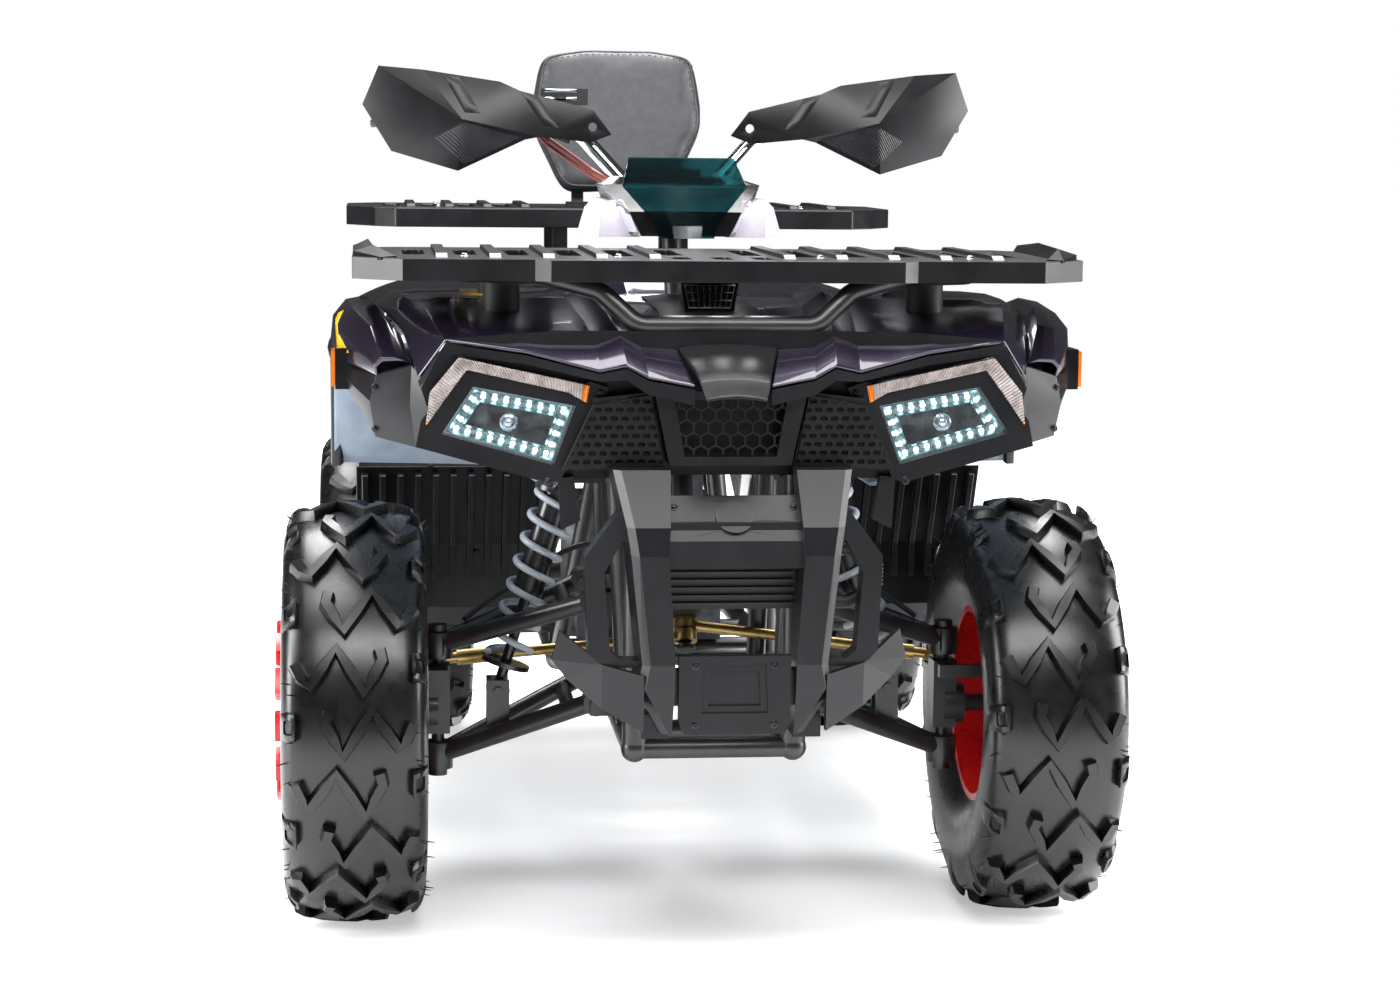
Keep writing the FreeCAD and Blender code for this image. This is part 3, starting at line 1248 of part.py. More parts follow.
def headlamp_leds():
    """The ring of small lights round each reflector."""
    corners = lamp_outline(led_ring_inset)
    corners.append(corners[0])
    lengths = [math.dist(a, b) for a, b in zip(corners, corners[1:])]
    total = sum(lengths)
    made = []
    for n in range(led_count):
        along = total * n / led_count
        for (a, b), length in zip(zip(corners, corners[1:]), lengths):
            if along <= length:
                share = along / length
                x, z = a[0] + (b[0] - a[0]) * share, a[1] + (b[1] - a[1]) * share
                break
            along -= length
        made.append(Part.makeCylinder(led_radius, 9, vec(x, lamp_front_y + 11 - seat_gap, z), y_axis))
    return Part.makeCompound([both_sides(one) for one in made])


def marker_housing():
    """The block under the outer edge of a front fender that carries the side marker."""
    made = box(marker_inner_x, marker_outer_x, marker_y - marker_half_length, marker_y + marker_half_length,
               marker_low_z, marker_high_z)
    made = made.cut(Part.makeCompound([front_fender(), fender_flares(), arch_liners()]))
    return max(made.Solids, key=lambda one: one.BoundBox.XMax)


def side_marker():
    """The amber glass on the outer face of the marker block."""
    half = marker_half_length - 4
    glass = box(marker_outer_x + seat_gap, marker_outer_x + marker_glass, marker_y - half, marker_y + half,
                marker_low_z + 3, marker_high_z - 3)
    return glass.cut(Part.makeCompound([front_fender(), fender_flares()]))


def front_bumper():
    """The bull bar: two faceted uprights with loops and folded wings beside them, and the plates between them."""
    rings = []
    for z, x0, x1, y0, y1 in upright_sections:
        rings.append([vec(x0, y0, z), vec(x1 - upright_chamfer, y0, z), vec(x1, y0 + upright_chamfer, z),
                      vec(x1 + upright_chamfer / 2, y1, z), vec(x0, y1, z)])
    upright = through(rings)
    loop = prism_y(loop_outline, loop_front_y, loop_rear_y)
    wing = folded(wing_points, wing_faces, (0, wing_depth, 0))
    half = bumper_plate_half
    plate = prism_x(bumper_plate_profile, -half, half)
    top, fold = bumper_plate_profile[0], bumper_plate_profile[1]
    middle = vec(0, (top[0] + fold[0]) / 2, (top[1] + fold[1]) / 2)
    outward = vec(0, fold[1] - top[1], top[0] - fold[0]).normalize()
    disc_radius_here, disc_height = bumper_disc
    disc = rod(middle - outward, middle + outward * disc_height, disc_radius_here)
    low = prism_y(low_plate_outline, low_plate_front_y, low_plate_rear_y)
    recess = prism_y(low_plate_recess, low_plate_front_y - 1, low_plate_front_y + 4)
    dish = prism_y(low_plate_dish, low_plate_front_y - 1, low_plate_front_y + 8)
    low = low.cut(Part.makeCompound([recess, dish]))
    back = box(-80, 80, low_plate_rear_y - 1, -404, 350, 390)
    bars = [upright, mirrored(upright), loop, mirrored(loop), wing, mirrored(wing), plate, disc, low, back]
    bars.append(box(-80, 80, -430, bumper_back_y, 536, 560))
    bars += [box(s * 72, s * 104, -406, bumper_back_y, z - 14, z + 14) for z in bumper_mount_zs for s in (1, -1)]
    return fuse(bars)


def oil_cooler():
    """The cooler behind the opening of the bumper: a finned core on two tabs."""
    y = cooler_front_y
    core = box(-76, 76, y + 6, y + 24, 454, 526)
    fins = [box(-72, 72, y, y + 7, z, z + 3) for z in [459 + 9 * n for n in range(8)]]
    tabs = []
    for s in (1, -1):
        tabs.append(box(s * 70, s * 100, y + 14, y + 22, 480, 498))
        tabs.append(box(s * 92, s * 100, y + 14, rail_front_y - frame_tube_radius - seat_gap, 480, 498))
    return fuse([core] + fins + tabs)


def cooler_hose():
    """The hose that loops out beside the bumper between the two ports of the cooler."""
    y = cooler_front_y + 15
    points = [vec(78 + seat_gap, y, 514), vec(138, y, 524), vec(170, y, 506), vec(170, y, 478), vec(138, y, 460),
              vec(78 + seat_gap, y, 462)]
    return bent_rod(points, hose_radius, 2 * hose_radius)


def bent_tube(points, radius):
    """A round tube along a smooth curve through the points."""
    curve = Part.BSplineCurve()
    curve.interpolate(points)
    path = Part.Wire(curve.toShape())
    start = (points[1] - points[0]).normalize()
    tangent = curve.tangent(curve.FirstParameter)[0]
    ring = Part.Wire(Part.makeCircle(radius, points[0], tangent))
    return path.makePipeShell([ring], True, True)


def brake_hoses():
    """The brake hose along each upper arm, from the frame to the arm's outer end."""
    points = [vec(126, 60, 470), vec(160, 52, 462), vec(215, 44, 428), vec(262, 34, 399), vec(292, 17, 378.8)]
    return both_sides(bent_tube(points, brake_hose_radius))


def side_panels():
    """The painted panels below the saddle, the right one open round the exhaust pipe."""
    outline = [(330, 652), (800, 652), (800, 560), (740, 480), (620, 430), (520, 452), (440, 560), (345, 600)]
    left = prism_x(outline, side_panel_x, side_panel_x + panel_thickness)
    right = mirrored(left)
    pipe = rods_through(exhaust_route(), exhaust_pipe_radius + 8)
    return Part.makeCompound([left, largest(right.cut(pipe))])


def dash_cowl():
    """The bright cover round the foot of the steering, between the hood and the front of the saddle."""
    def ring(y, half, top):
        points = [vec(-half, y, 745), vec(half, y, 745), vec(half - 2, y, top - 12), vec(half * 0.6, y, top),
                  vec(-half * 0.6, y, top), vec(-half + 2, y, top - 12)]
        return Part.makePolygon(points + [points[0]])

    made = Part.makeLoft([ring(200 + seat_gap, 104, 776), ring(322 - seat_gap, 107, 780)], True, True)
    return made.cut(stem_line(0, stem_length(), stem_bearing_radius + 5))


def seat_base():
    return box(-122, 122, 500, 1090, 655.3, 699.7)


def tail_lamps():
    rear_y = wheelbase + tail_profile[1][0] + seat_gap
    lamp = box(52, 124, rear_y, rear_y + 12, 704, 738)
    return both_sides(lamp)


def rear_rack_stays():
    """Short uprights between the tail and the rear rack."""
    half = tail_half - seat_gap
    made = []
    for s in (1, -1):
        for y in (wheelbase - 50, wheelbase + 185):
            post = box(s * 88, s * 112, y, y + 26, 700, rear_rack_z - rack_deck - seat_gap)
            made.append(largest(post.cut(rear_body()[1])))
    return made


def rack_plate(outline, z_top, skirt):
    """A moulded rack: a deck with a skirt round its edge, from the left half of its outline."""
    ring = list(outline) + [(-x, y) for x, y in outline[::-1]]
    made = prism_z(ring, z_top - skirt, z_top)
    middle = (outline[0][1] + outline[-1][1]) / 2
    half_length = abs(outline[-1][1] - outline[0][1]) / 2
    half_width = max(x for x, y in outline)
    inner = [(x * (1 - 7.0 / half_width), middle + (y - middle) * (1 - 7.0 / half_length)) for x, y in ring]
    return made.cut(prism_z(inner, z_top - skirt - 1, z_top - rack_deck))


def round_slot(x, y, length, width, z0, z1):
    """A slot with round ends, drawn along Y."""
    half = (length - width) / 2
    return fuse([box(x - width / 2, x + width / 2, y - half, y + half, z0, z1),
                 Part.makeCylinder(width / 2, z1 - z0, vec(x, y - half, z0)),
                 Part.makeCylinder(width / 2, z1 - z0, vec(x, y + half, z0))])


def front_rack():
    """The front rack: a slotted deck with ribs between its slots and a rising rail along each side."""
    z = front_rack_z
    y0, y1 = front_rack_front_y, front_rack_rear_y
    made = rack_plate(front_rack_outline, z, 25)
    rings = [[vec(x0, y, z - 2), vec(x1, y, z - 2), vec(x1, y, z + rise * 0.45), vec(x0 + (x1 - x0) * 0.3, y, z + rise)]
             for y, x0, x1, rise in front_rack_rails]
    rail = through(rings)
    ribs = [prism_x([(y0 + 60, z - 1), (y0 + 76, z + 5), (y1 - 36, z + 5), (y1 - 20, z - 1)], s * x - 7, s * x + 7)
            for s in (1, -1) for x in (79, 141, 203, 265, 327)]
    slots = [round_slot(s * (110 + 62 * n), (y0 + y1) / 2 + 30, 210 - 14 * n, 26, z - 40, z + 5)
             for s in (1, -1) for n in range(5)]
    slots += [round_slot(x, y0 + 82, 76, 22, z - 40, z + 5) for x in (-48, 0, 48)]
    slots += [round_slot(x, y1 - 150, 190, 26, z - 40, z + 5) for x in (-48, 48)]
    return fuse([made, rail, mirrored(rail)] + ribs).cut(Part.makeCompound(slots))


def rack_loop():
    """The bent tube under the front rack, dipping across the nose."""
    r = rack_tube_radius
    top = front_rack_z - rack_deck - r - seat_gap
    left = [vec(x, y, top + drop) for x, y, drop in rack_loop_points]
    right = [vec(-p.x, p.y, p.z) for p in left]
    return bent_rod(left + right[::-1], r, 30)


def rack_feet():
    """The round feet between the hood and the front rack."""
    made = []
    hood = front_body()
    for x, y in ((255, -200), (255, -30)):
        foot = Part.makeCylinder(22, 100, vec(x, y, front_rack_z - rack_deck - seat_gap - 100))
        foot = foot.cut(hood)
        foot = max(foot.Solids, key=lambda one: one.BoundBox.ZMax)
        made += [foot, mirrored(foot)]
    return made


def rear_rack():
    y0, y1 = rear_rack_front_y, rear_rack_rear_y
    z = rear_rack_z
    made = rack_plate([(x, wheelbase + y) for x, y in rear_rack_outline], z, 31)
    slots = [round_slot(s * (190 + 62 * n), (y0 + y1) / 2 + 20, 250 - 26 * n, 28, z - 50, z + 5)
             for s in (1, -1) for n in range(4)]
    ribs = [prism_x([(y0 + 50, z - 1), (y0 + 66, z + 6), (y1 - 46, z + 6), (y1 - 30, z - 1)], s * x - 8, s * x + 8)
            for s in (1, -1) for x in (159, 221, 283, 345)]
    return fuse([made] + ribs).cut(Part.makeCompound(slots))


def seat():
    """The long saddle, a plain soft solid."""
    profile = [(476.3, 742), (520, 800), (600, 806), (760, 778), (900, 782), (1060, 812), (1100, 800), (1106, 724),
               (1080, 706), (500, 700)]
    made = prism_x(profile, -seat_half_width, seat_half_width)
    trimmed = made.common(prism_y([(-seat_half_width, 690), (seat_half_width, 690), (seat_half_width - 8, 760),
                                   (seat_half_width - 45, 830), (-seat_half_width + 45, 830),
                                   (-seat_half_width + 8, 760)], 400, 1200))
    return trimmed


def tank_cover():
    """The painted cover between the hood and the saddle."""
    rows = []
    for y, z, half in ((322, 778, 108), (372, 812, 120), (430, 820, 126), (476, 790, 130)):
        rows.append((y, z, half))
    wires = []
    for y, z, half in rows:
        ring = [vec(-half, y, cover_low_z), vec(half, y, cover_low_z), vec(half - 4, y, z - 50), vec(half * 0.55, y, z),
                vec(-half * 0.55, y, z), vec(-half + 4, y, z - 50)]
        wires.append(Part.makePolygon(ring + [ring[0]]))
    return Part.makeLoft(wires, True, True)


def rear_body():
    """The painted rear fenders and tail under the saddle and rack."""
    rows = [[(tail_half, wheelbase + row[0][1], row[0][2])] + [(x, wheelbase + y, z) for x, y, z in row[1:]]
            for row in rear_fender_rows]
    fender = smooth_skin(rows, vec(*rear_fender_shift))
    half = tail_half - seat_gap
    tail = prism_x([(wheelbase + y, z) for y, z in tail_profile], -half, half)
    return both_sides(fender), tail


def backrest_pad():
    """The padded backrest, a plain soft solid with a rounded outline."""
    corners = list(backrest_outline) + [(-x, z) for x, z in backrest_outline[:1:-1]]
    ring = [vec(x, backrest_y, backrest_low_z + z) for x, z in corners]
    made = Part.Face(rounded(ring, backrest_corner)).extrude(vec(0, backrest_depth, 0))
    made.rotate(vec(0, backrest_y, backrest_low_z), x_axis, -backrest_lean)
    return made


def backrest_posts():
    """Two flat posts from the rear rack up behind the backrest, leaning with it."""
    made = []
    back = backrest_y + backrest_depth + seat_gap
    for s in (1, -1):
        post = box(s * 54, s * 74, back, back + 8, rear_rack_z - 60, 1050)
        post.rotate(vec(0, backrest_y, backrest_low_z), x_axis, -backrest_lean)
        post = post.cut(box(-500, 500, wheelbase - 200, wheelbase + 300, 700, rear_rack_z))
        foot = box(s * 46, s * 82, back - 30, back + 34, rear_rack_z, rear_rack_z + 7)
        made.append(fuse([post, foot]))
    return made


def exhaust_route():
    x = -silencer_x
    y, z = engine_front_y, engine_low_z + 268
    return [vec(-62 - seat_gap, y + 60, z), vec(-96, y + 60, z), vec(x, y + 160, silencer_z), vec(x, silencer_front_y - 50, silencer_z)]


def exhaust():
    """The silencer under the right side of the rear rack, and the pipe from the engine."""
    r = exhaust_pipe_radius
    x = -silencer_x
    can = rod(vec(x, silencer_front_y, silencer_z), vec(x, silencer_rear_y, silencer_z), silencer_radius)
    cone = Part.makeCone(r, silencer_radius, 60, vec(x, silencer_front_y - 60, silencer_z), y_axis)
    tip = rod(vec(x, silencer_rear_y - 1, silencer_z - 14), vec(x, silencer_rear_y + 46, silencer_z - 14), 15)
    bore = rod(vec(x, silencer_rear_y + 6, silencer_z - 14), vec(x, silencer_rear_y + 60, silencer_z - 14), 12.5)
    pipe = rods_through(exhaust_route(), exhaust_pipe_radius)
    stay = box(x - 4, x + 4, silencer_front_y + 120, silencer_front_y + 150, silencer_z + silencer_radius - 2,
               top_rail_z - frame_tube_radius * 0.7)
    return fuse([can, cone, tip, pipe]).cut(bore)


def steering_stem():
    """The steering stem with the pitman plate at its foot and the bar clamp on its head."""
    shaft = stem_line(0, stem_length(), stem_radius)
    n = stem_direction()
    down = vec(0, n.z, -n.y)
    foot = stem_point(0)
    reach = pitman_reach
    corners = []
    for dx, dd in ((-24, -20), (24, -20), (pitman_tip, reach + 14), (-pitman_tip, reach + 14)):
        corners.append(foot + vec(dx, 0, 0) + down * dd)
    plate = Part.Face(Part.makePolygon(corners + [corners[0]])).extrude(n * pitman_thickness)
    drop = tie_head_gap + 2 * tie_eye_height + tie_eye_gap + tie_slide
    pins = [rod(pitman_point(-1), pitman_point(drop + 1), tie_pin_radius),
            rod(pitman_point(drop), pitman_point(drop + pitman_nut_height), pitman_nut_radius)]
    collar = stem_line(pitman_thickness + 4 + stem_bearing_length + 1.5, pitman_thickness + 4 + stem_bearing_length + 9, 19)
    head = stem_point(stem_length())
    clamp = box(-bar_clamp_half + 18, bar_clamp_half - 18, head.y - clamp_depth / 2, head.y + clamp_depth / 2,
                head.z - 12, head.z + clamp_height)
    bar_hole = rod_along(vec(0, head.y, bar_low_z()), x_axis, 4 * bar_clamp_half, bar_radius + seat_gap)
    bracket = box(-30, 30, 303 + seat_gap, head.y - clamp_depth / 2 + 1, head.z - 8, head.z + 20)
    return fuse([shaft, plate, collar, clamp, bracket] + pins).cut(bar_hole)


def bar_low_z():
    return stem_high_z + clamp_height * 0.45


def bar_points(s):
    y = stem_high_y
    z = bar_low_z()
    return [vec(s * bar_clamp_half, y, z), vec(s * bar_knee_x, y + 12, z + bar_rise * 0.72),
            vec(s * bar_grip_x, y + 22, z + bar_rise), vec(s * bar_end_x, y + 22 + bar_sweep, z + bar_rise)]


def handlebar():
    """The tubular handlebar with a cross brace."""
    left = bar_points(1)
    right = bar_points(-1)
    points = right[::-1] + left
    bar = bent_rod(points, bar_radius, bar_bend_radius)
    return bar


def grip_line(s, start, length, radius):
    """A sleeve along the outer part of the bar, from start short of its end."""
    inner, end = bar_points(s)[2], bar_points(s)[3]
    direction = (inner - end).normalize()
    a = end + direction * start
    return rod(a, a + direction * length, radius).cut(rod(a - direction * 10, a + direction * (length + 10), bar_radius + seat_gap))


def grips():
    made = []
    for s in (1, -1):
        made.append(grip_line(s, 6, grip_length, grip_radius))
    return Part.makeCompound(made)


def brake_controls():
    """Lever perches, levers, switch blocks and the brake reservoir."""
    made = []
    for s in (1, -1):
        inner, end = bar_points(s)[2], bar_points(s)[3]
        direction = (inner - end).normalize()
        at = end + direction * (grip_length + 12 + switch_length / 2)
        block_body = grip_line(s, grip_length + 10, switch_length, switch_radius)
        perch = at + vec(0, -switch_radius + 2, -4)
        tip_root = perch + vec(s * 8, -24, -4)
        lever = rods_through([perch, tip_root, tip_root + vec(s * lever_length, lever_length * 0.32, -6)], lever_radius)
        made.append(fuse([block_body, lever]).cut(rod(inner, end, bar_radius + seat_gap)))
    low, high = bar_points(-1)[1], bar_points(-1)[2]
    along = (high - low).normalize()
    at = low + along * 24
    ring = rod_along(at, along, 24, bar_radius + 6)
    tank = box(at.x - reservoir_length / 2, at.x + reservoir_length / 2, at.y + 5 - reservoir_width / 2,
               at.y + 5 + reservoir_width / 2, at.z + bar_radius + 22, at.z + bar_radius + 22 + reservoir_height)
    neck = rod(at + vec(0, 0, bar_radius), at + vec(0, 0, bar_radius + 24), 9)
    made.append(fuse([ring, tank, neck]).cut(rod(low, high, bar_radius + seat_gap)))
    return made


def control_cables():
    """The two cables from the right-hand controls in to the instrument housing."""
    perch = bar_points(-1)[2]
    made = []
    for shift in (0, 9):
        start = perch + vec(8, bar_radius + cable_radius + seat_gap + 0.5, -shift)
        made.append(rods_through([start, vec(-165, 390, 990 - shift), vec(-106, 374, 948 - shift),
                                  vec(-66 + shift, 303 + 2 * cable_radius, 922 - shift)], cable_radius))
    return made


def pod_panels():
    """The bright cheeks beside the screen."""
    rings = [[vec(x, y, z) for x, z in ring] for y, ring in cheek_rings]
    cheek = through(rings).cut(instrument_pod())
    return both_sides(max(cheek.Solids, key=lambda one: one.BoundBox.XMax))


def hand_guards():
    """The folded shell in front of each grip, with its arm to the bar."""
    shell = folded(guard_points, guard_faces, (0, guard_thickness, 0))
    eye_x, eye_z, eye_radius = guard_eye
    shell = shell.cut(rod(vec(eye_x, 0, eye_z), vec(eye_x, guard_front_y + 5 * overrun, eye_z), eye_radius))
    low, high = bar_points(1)[1], bar_points(1)[2]
    along = (high - low).normalize()
    at = low + along * 50
    ring = rod_along(at, along, 20, bar_radius + 7)
    arm = rod(at, vec(at.x, guard_front_y - 6, 1004), 7)
    clamp = fuse([ring, arm]).cut(Part.makeCompound([rod(low, high, bar_radius + seat_gap), shell]))
    clamp = max(clamp.Solids, key=lambda one: one.BoundBox.YMax)
    return [shell, clamp]


def instrument_pod():
    """The instrument housing ahead of the bar, with the lugs that hold the screen."""
    def ring(y, low_half, high_half, low, high):
        points = [vec(-low_half, y, low), vec(low_half, y, low), vec(high_half, y, high), vec(-high_half, y, high)]
        return Part.makePolygon(points + [points[0]])

    shell = Part.makeLoft([ring(135, 58, 74, 864, 896), ring(235, 88, 110, 868, 930), ring(303, 70, 84, 880, 940)],
                          True, True)
    lugs = [rod(vec(x, 90, 884), vec(x, 160, 884), 6) for x in (-34, 34)]
    made = shell.multiFuse(lugs).cut(windscreen())
    return max(made.Solids, key=lambda one: one.Volume)


def windscreen():
    """The small smoked screen standing folded on the front of the instrument housing."""
    rows = [[(x * half, y + screen_side_set * x * x, z) for x in screen_across] for z, y, half in screen_rows]
    return folded_rows(rows, (0, -screen_thickness, 0))


def front_suspension():
    lower = a_arm(lower_arm_inner_x, lower_arm_inner_z, lower_arm_spread, lower_arm_eye_z, True)
    upper = a_arm(upper_arm_inner_x, upper_arm_inner_z, upper_arm_spread, upper_arm_eye_z, False)
    damper, spring = spring_leg(vec(shock_low_x, 0, shock_low_z), vec(shock_high_x, 0, shock_high_z), y_axis,
                                shock_eye_width, shock_body_share)
    rear_damper, rear_spring = rear_spring_leg()
    save("front_arms", Part.makeCompound([both_sides(lower), both_sides(upper)]))
    save("dampers", Part.makeCompound([damper, mirrored(damper), rear_damper]))
    save("springs", Part.makeCompound([spring, mirrored(spring), rear_spring]))


def wheels():
    on_left_and_right("front_tyre", lambda: tyre(front_centre(1), front_tyre_radius, front_tyre_width, front_rim_width))
    on_left_and_right("front_rim", lambda: rim(front_centre(1), front_rim_width, 1))
    on_left_and_right("front_hub", front_hub)
    on_left_and_right("knuckle", knuckle)
    save("tie_rod_left", tie_rod(0))
    save("tie_rod_right", mirrored(tie_rod(1)))
    save("rear_tyres", both_sides(tyre(rear_centre(1), rear_tyre_radius, rear_tyre_width, rear_rim_width)))
    save("rear_rims", both_sides(rim(rear_centre(1), rear_rim_width, 1)))
    save("rear_axle", rear_axle())


def chassis():
    save("frame", frame())
    save("engine_block", engine())
    save("chain", chain())
    save("swing_arm", swing_arm())
    save("tow_hitch", tow_hitch())
    save("exhaust", exhaust())
    save("front_bumper", front_bumper())


def body():
    save("hood_panels", front_body())
    save("hood_centre", hood_centre())
    save("fender_flares", fender_flares())
    save("arch_liners", arch_liners())
    save("footwells", footwells())
    save("grille", grille())
    save("fascia", Part.makeCompound([fascia(), brow_strips(), both_sides(headlamp_housing())]))
    save("headlamp_leds", headlamp_leds())
    save("marker_housings", both_sides(marker_housing()))
    save("side_markers", both_sides(side_marker()))
    save("oil_cooler", oil_cooler())
    save("hoses", Part.makeCompound([brake_hoses(), cooler_hose()]))
    save("dash_cowl", dash_cowl())
    save("tail_lamps", tail_lamps())
    save("rack_feet", Part.makeCompound(rack_feet()))
    save("headlamp_reflectors", both_sides(headlamp_reflector()))
    save("headlamp_lenses", both_sides(headlamp_lens()))
    save("front_rack", front_rack())
    save("rack_stays", Part.makeCompound([rack_loop()] + rear_rack_stays() + backrest_posts()))
    save("rear_rack", rear_rack())
    save("seat", seat())
    save("tank_cover", Part.makeCompound([tank_cover(), side_panels()]))
    fenders, tail = rear_body()
    save("rear_fenders", fenders)
    save("tail_panel", Part.makeCompound([tail, seat_base()]))
    save("backrest_pad", backrest_pad())


def steering():
    save("steering_stem", steering_stem())
    save("handlebar", handlebar())
    save("grips", grips())
    save("brake_controls", Part.makeCompound(brake_controls()))
    save("hand_guards", both_sides(Part.makeCompound(hand_guards())))
    save("instrument_pod", instrument_pod())
    save("pod_panels", pod_panels())
    save("control_cables", Part.makeCompound(control_cables()))
    save("windscreen", windscreen())


os.makedirs("parts", exist_ok=True)
wheels()
front_suspension()
chassis()
body()
steering()
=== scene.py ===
import json
import math
import random

import bmesh
import bpy
from mathutils import Matrix, Vector
from mathutils.bvhtree import BVHTree


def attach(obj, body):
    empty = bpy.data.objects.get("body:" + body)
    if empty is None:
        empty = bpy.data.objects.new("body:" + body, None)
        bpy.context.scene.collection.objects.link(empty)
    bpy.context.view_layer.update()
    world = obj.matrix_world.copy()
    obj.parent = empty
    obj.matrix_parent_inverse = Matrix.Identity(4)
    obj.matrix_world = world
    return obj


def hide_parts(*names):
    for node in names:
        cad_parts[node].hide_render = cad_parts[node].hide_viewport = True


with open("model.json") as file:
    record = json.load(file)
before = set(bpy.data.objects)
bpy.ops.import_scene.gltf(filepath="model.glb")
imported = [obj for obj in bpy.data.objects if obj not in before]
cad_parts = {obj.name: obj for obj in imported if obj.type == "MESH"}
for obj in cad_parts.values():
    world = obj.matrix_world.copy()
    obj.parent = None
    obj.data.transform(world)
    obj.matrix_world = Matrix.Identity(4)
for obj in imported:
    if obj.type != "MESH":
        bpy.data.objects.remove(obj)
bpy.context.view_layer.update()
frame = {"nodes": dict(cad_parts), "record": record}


node = frame["nodes"]

# camera, at the photograph's place
cameraSettings = {
    "place": (-0.4028, -4.1562, 0.9791),     # metres, from the centre of the quad bike on the floor
    "yawDeg": 6.402, "pitchDeg": 6.909, "rollDeg": 0.559,
    "lensMm": 74.7, "sensorMm": 36.0,
}


def addCamera(s):
    yaw, pitch, roll = (math.radians(s[k]) for k in ("yawDeg", "pitchDeg", "rollDeg"))
    ahead = Vector((math.sin(yaw) * math.cos(pitch), math.cos(yaw) * math.cos(pitch), -math.sin(pitch)))
    right = Vector((math.cos(yaw), -math.sin(yaw), 0))
    up = right.cross(ahead)
    right, up = right * math.cos(roll) + up * math.sin(roll), up * math.cos(roll) - right * math.sin(roll)
    data = bpy.data.cameras.new("photoCamera")
    data.lens, data.sensor_width = s["lensMm"], s["sensorMm"]
    data.clip_end = 60
    cam = bpy.data.objects.new("photoCamera", data)
    bpy.context.scene.collection.objects.link(cam)
    cam.matrix_world = Matrix.Translation(s["place"]) @ Matrix((right, up, -ahead)).transposed().to_4x4()
    bpy.context.scene.camera = cam
    return cam


addCamera(cameraSettings)
print("camera set")


# materials
def hexColour(text):
    values = []
    for i in (0, 2, 4):
        c = int(text[i:i + 2], 16) / 255
        values.append(c / 12.92 if c <= 0.04045 else ((c + 0.055) / 1.055) ** 2.4)
    return (*values, 1.0)


def addNode(tree, kind, settings=None, links=None):
    made = tree.nodes.new(kind)
    for name, value in (settings or {}).items():
        if name in made.inputs and not hasattr(made, name):
            made.inputs[name].default_value = value
        else:
            setattr(made, name, value)
    for name, source in (links or {}).items():
        tree.links.new(source, made.inputs[name])
    return made


plainFinish = {
    "tones": ("1c1c1e", "28282a"), "stainMm": 40.0, "span": (0.3, 0.7), "stainDetail": 5.0,
    "rough": (0.4, 0.55), "grain": "noise", "grainMm": 1.2, "grainDetail": 3.0,
    "depthMm": 0.1, "bump": 0.3, "shader": {},
}


def makeFinish(name, base, **changes):
    # a cloud of two tones that also moves the gloss, over a fine grain that only shows as relief
    s = {**plainFinish, **base, **changes}
    mat = bpy.data.materials.new(name)
    mat.use_nodes = True
    tree = mat.node_tree
    tree.nodes.clear()
    where = addNode(tree, "ShaderNodeTexCoord").outputs["Object"]
    stainPlace, grainPlace = (addNode(tree, "ShaderNodeMapping", {"Scale": (1000 / s[size],) * 3},
                                      {"Vector": where}).outputs[0] for size in ("stainMm", "grainMm"))
    stain = addNode(tree, "ShaderNodeTexNoise", {"Scale": 1.0, "Detail": s["stainDetail"], "Roughness": 0.6},
                    {"Vector": stainPlace}).outputs[0]
    toneSource = stain
    if s["grain"] == "noise":
        grain = addNode(tree, "ShaderNodeTexNoise", {"Scale": 1.0, "Detail": s["grainDetail"]},
                        {"Vector": grainPlace}).outputs[0]
    elif s["grain"] == "bands":
        grain = addNode(tree, "ShaderNodeTexWave", {"Scale": 1.0, "bands_direction": "DIAGONAL"},
                        {"Vector": grainPlace}).outputs["Fac"]
    else:
        cells = addNode(tree, "ShaderNodeTexVoronoi", {"Scale": 1.0, "feature": s["grain"]},
                        {"Vector": grainPlace})
        grain = cells.outputs["Distance"]
        if s.get("flakes"):
            toneSource = addNode(tree, "ShaderNodeSeparateColor",
                                 links={"Color": cells.outputs["Color"]}).outputs[0]
            grain = stain
    tones = addNode(tree, "ShaderNodeValToRGB", links={"Fac": toneSource})
    for element, tone, at in zip(tones.color_ramp.elements, s["tones"], s["span"]):
        element.position, element.color = at, hexColour(tone)
    gloss = addNode(tree, "ShaderNodeMapRange", {"To Min": s["rough"][0], "To Max": s["rough"][1]},
                    {"Value": stain})
    relief = addNode(tree, "ShaderNodeBump", {"Strength": s["bump"], "Distance": s["depthMm"] / 1000},
                     {"Height": grain})
    shader = addNode(tree, "ShaderNodeBsdfPrincipled", s["shader"],
                     {"Base Color": tones.outputs[0], "Roughness": gloss.outputs[0],
                      "Normal": relief.outputs[0]})
    if s.get("glow"):
        tree.links.new(tones.outputs[0], shader.inputs["Emission Color"])
        shader.inputs["Emission Strength"].default_value = s["glow"]
    addNode(tree, "ShaderNodeOutputMaterial", links={0: shader.outputs[0]})
    return mat


# vulcanised rubber straight from a polished mould: dense black with a greasy shine and faint scuffs
tyreRubber = {"tones": ("060607", "0e0e10"), "stainMm": 26.0, "span": (0.4, 0.8), "rough": (0.2, 0.38),
              "grainMm": 1.2, "depthMm": 0.08, "shader": {"IOR": 1.52}}
softRubber = {**tyreRubber, "tones": ("131314", "202022"), "rough": (0.5, 0.68), "grainMm": 1.6,
              "depthMm": 0.15}
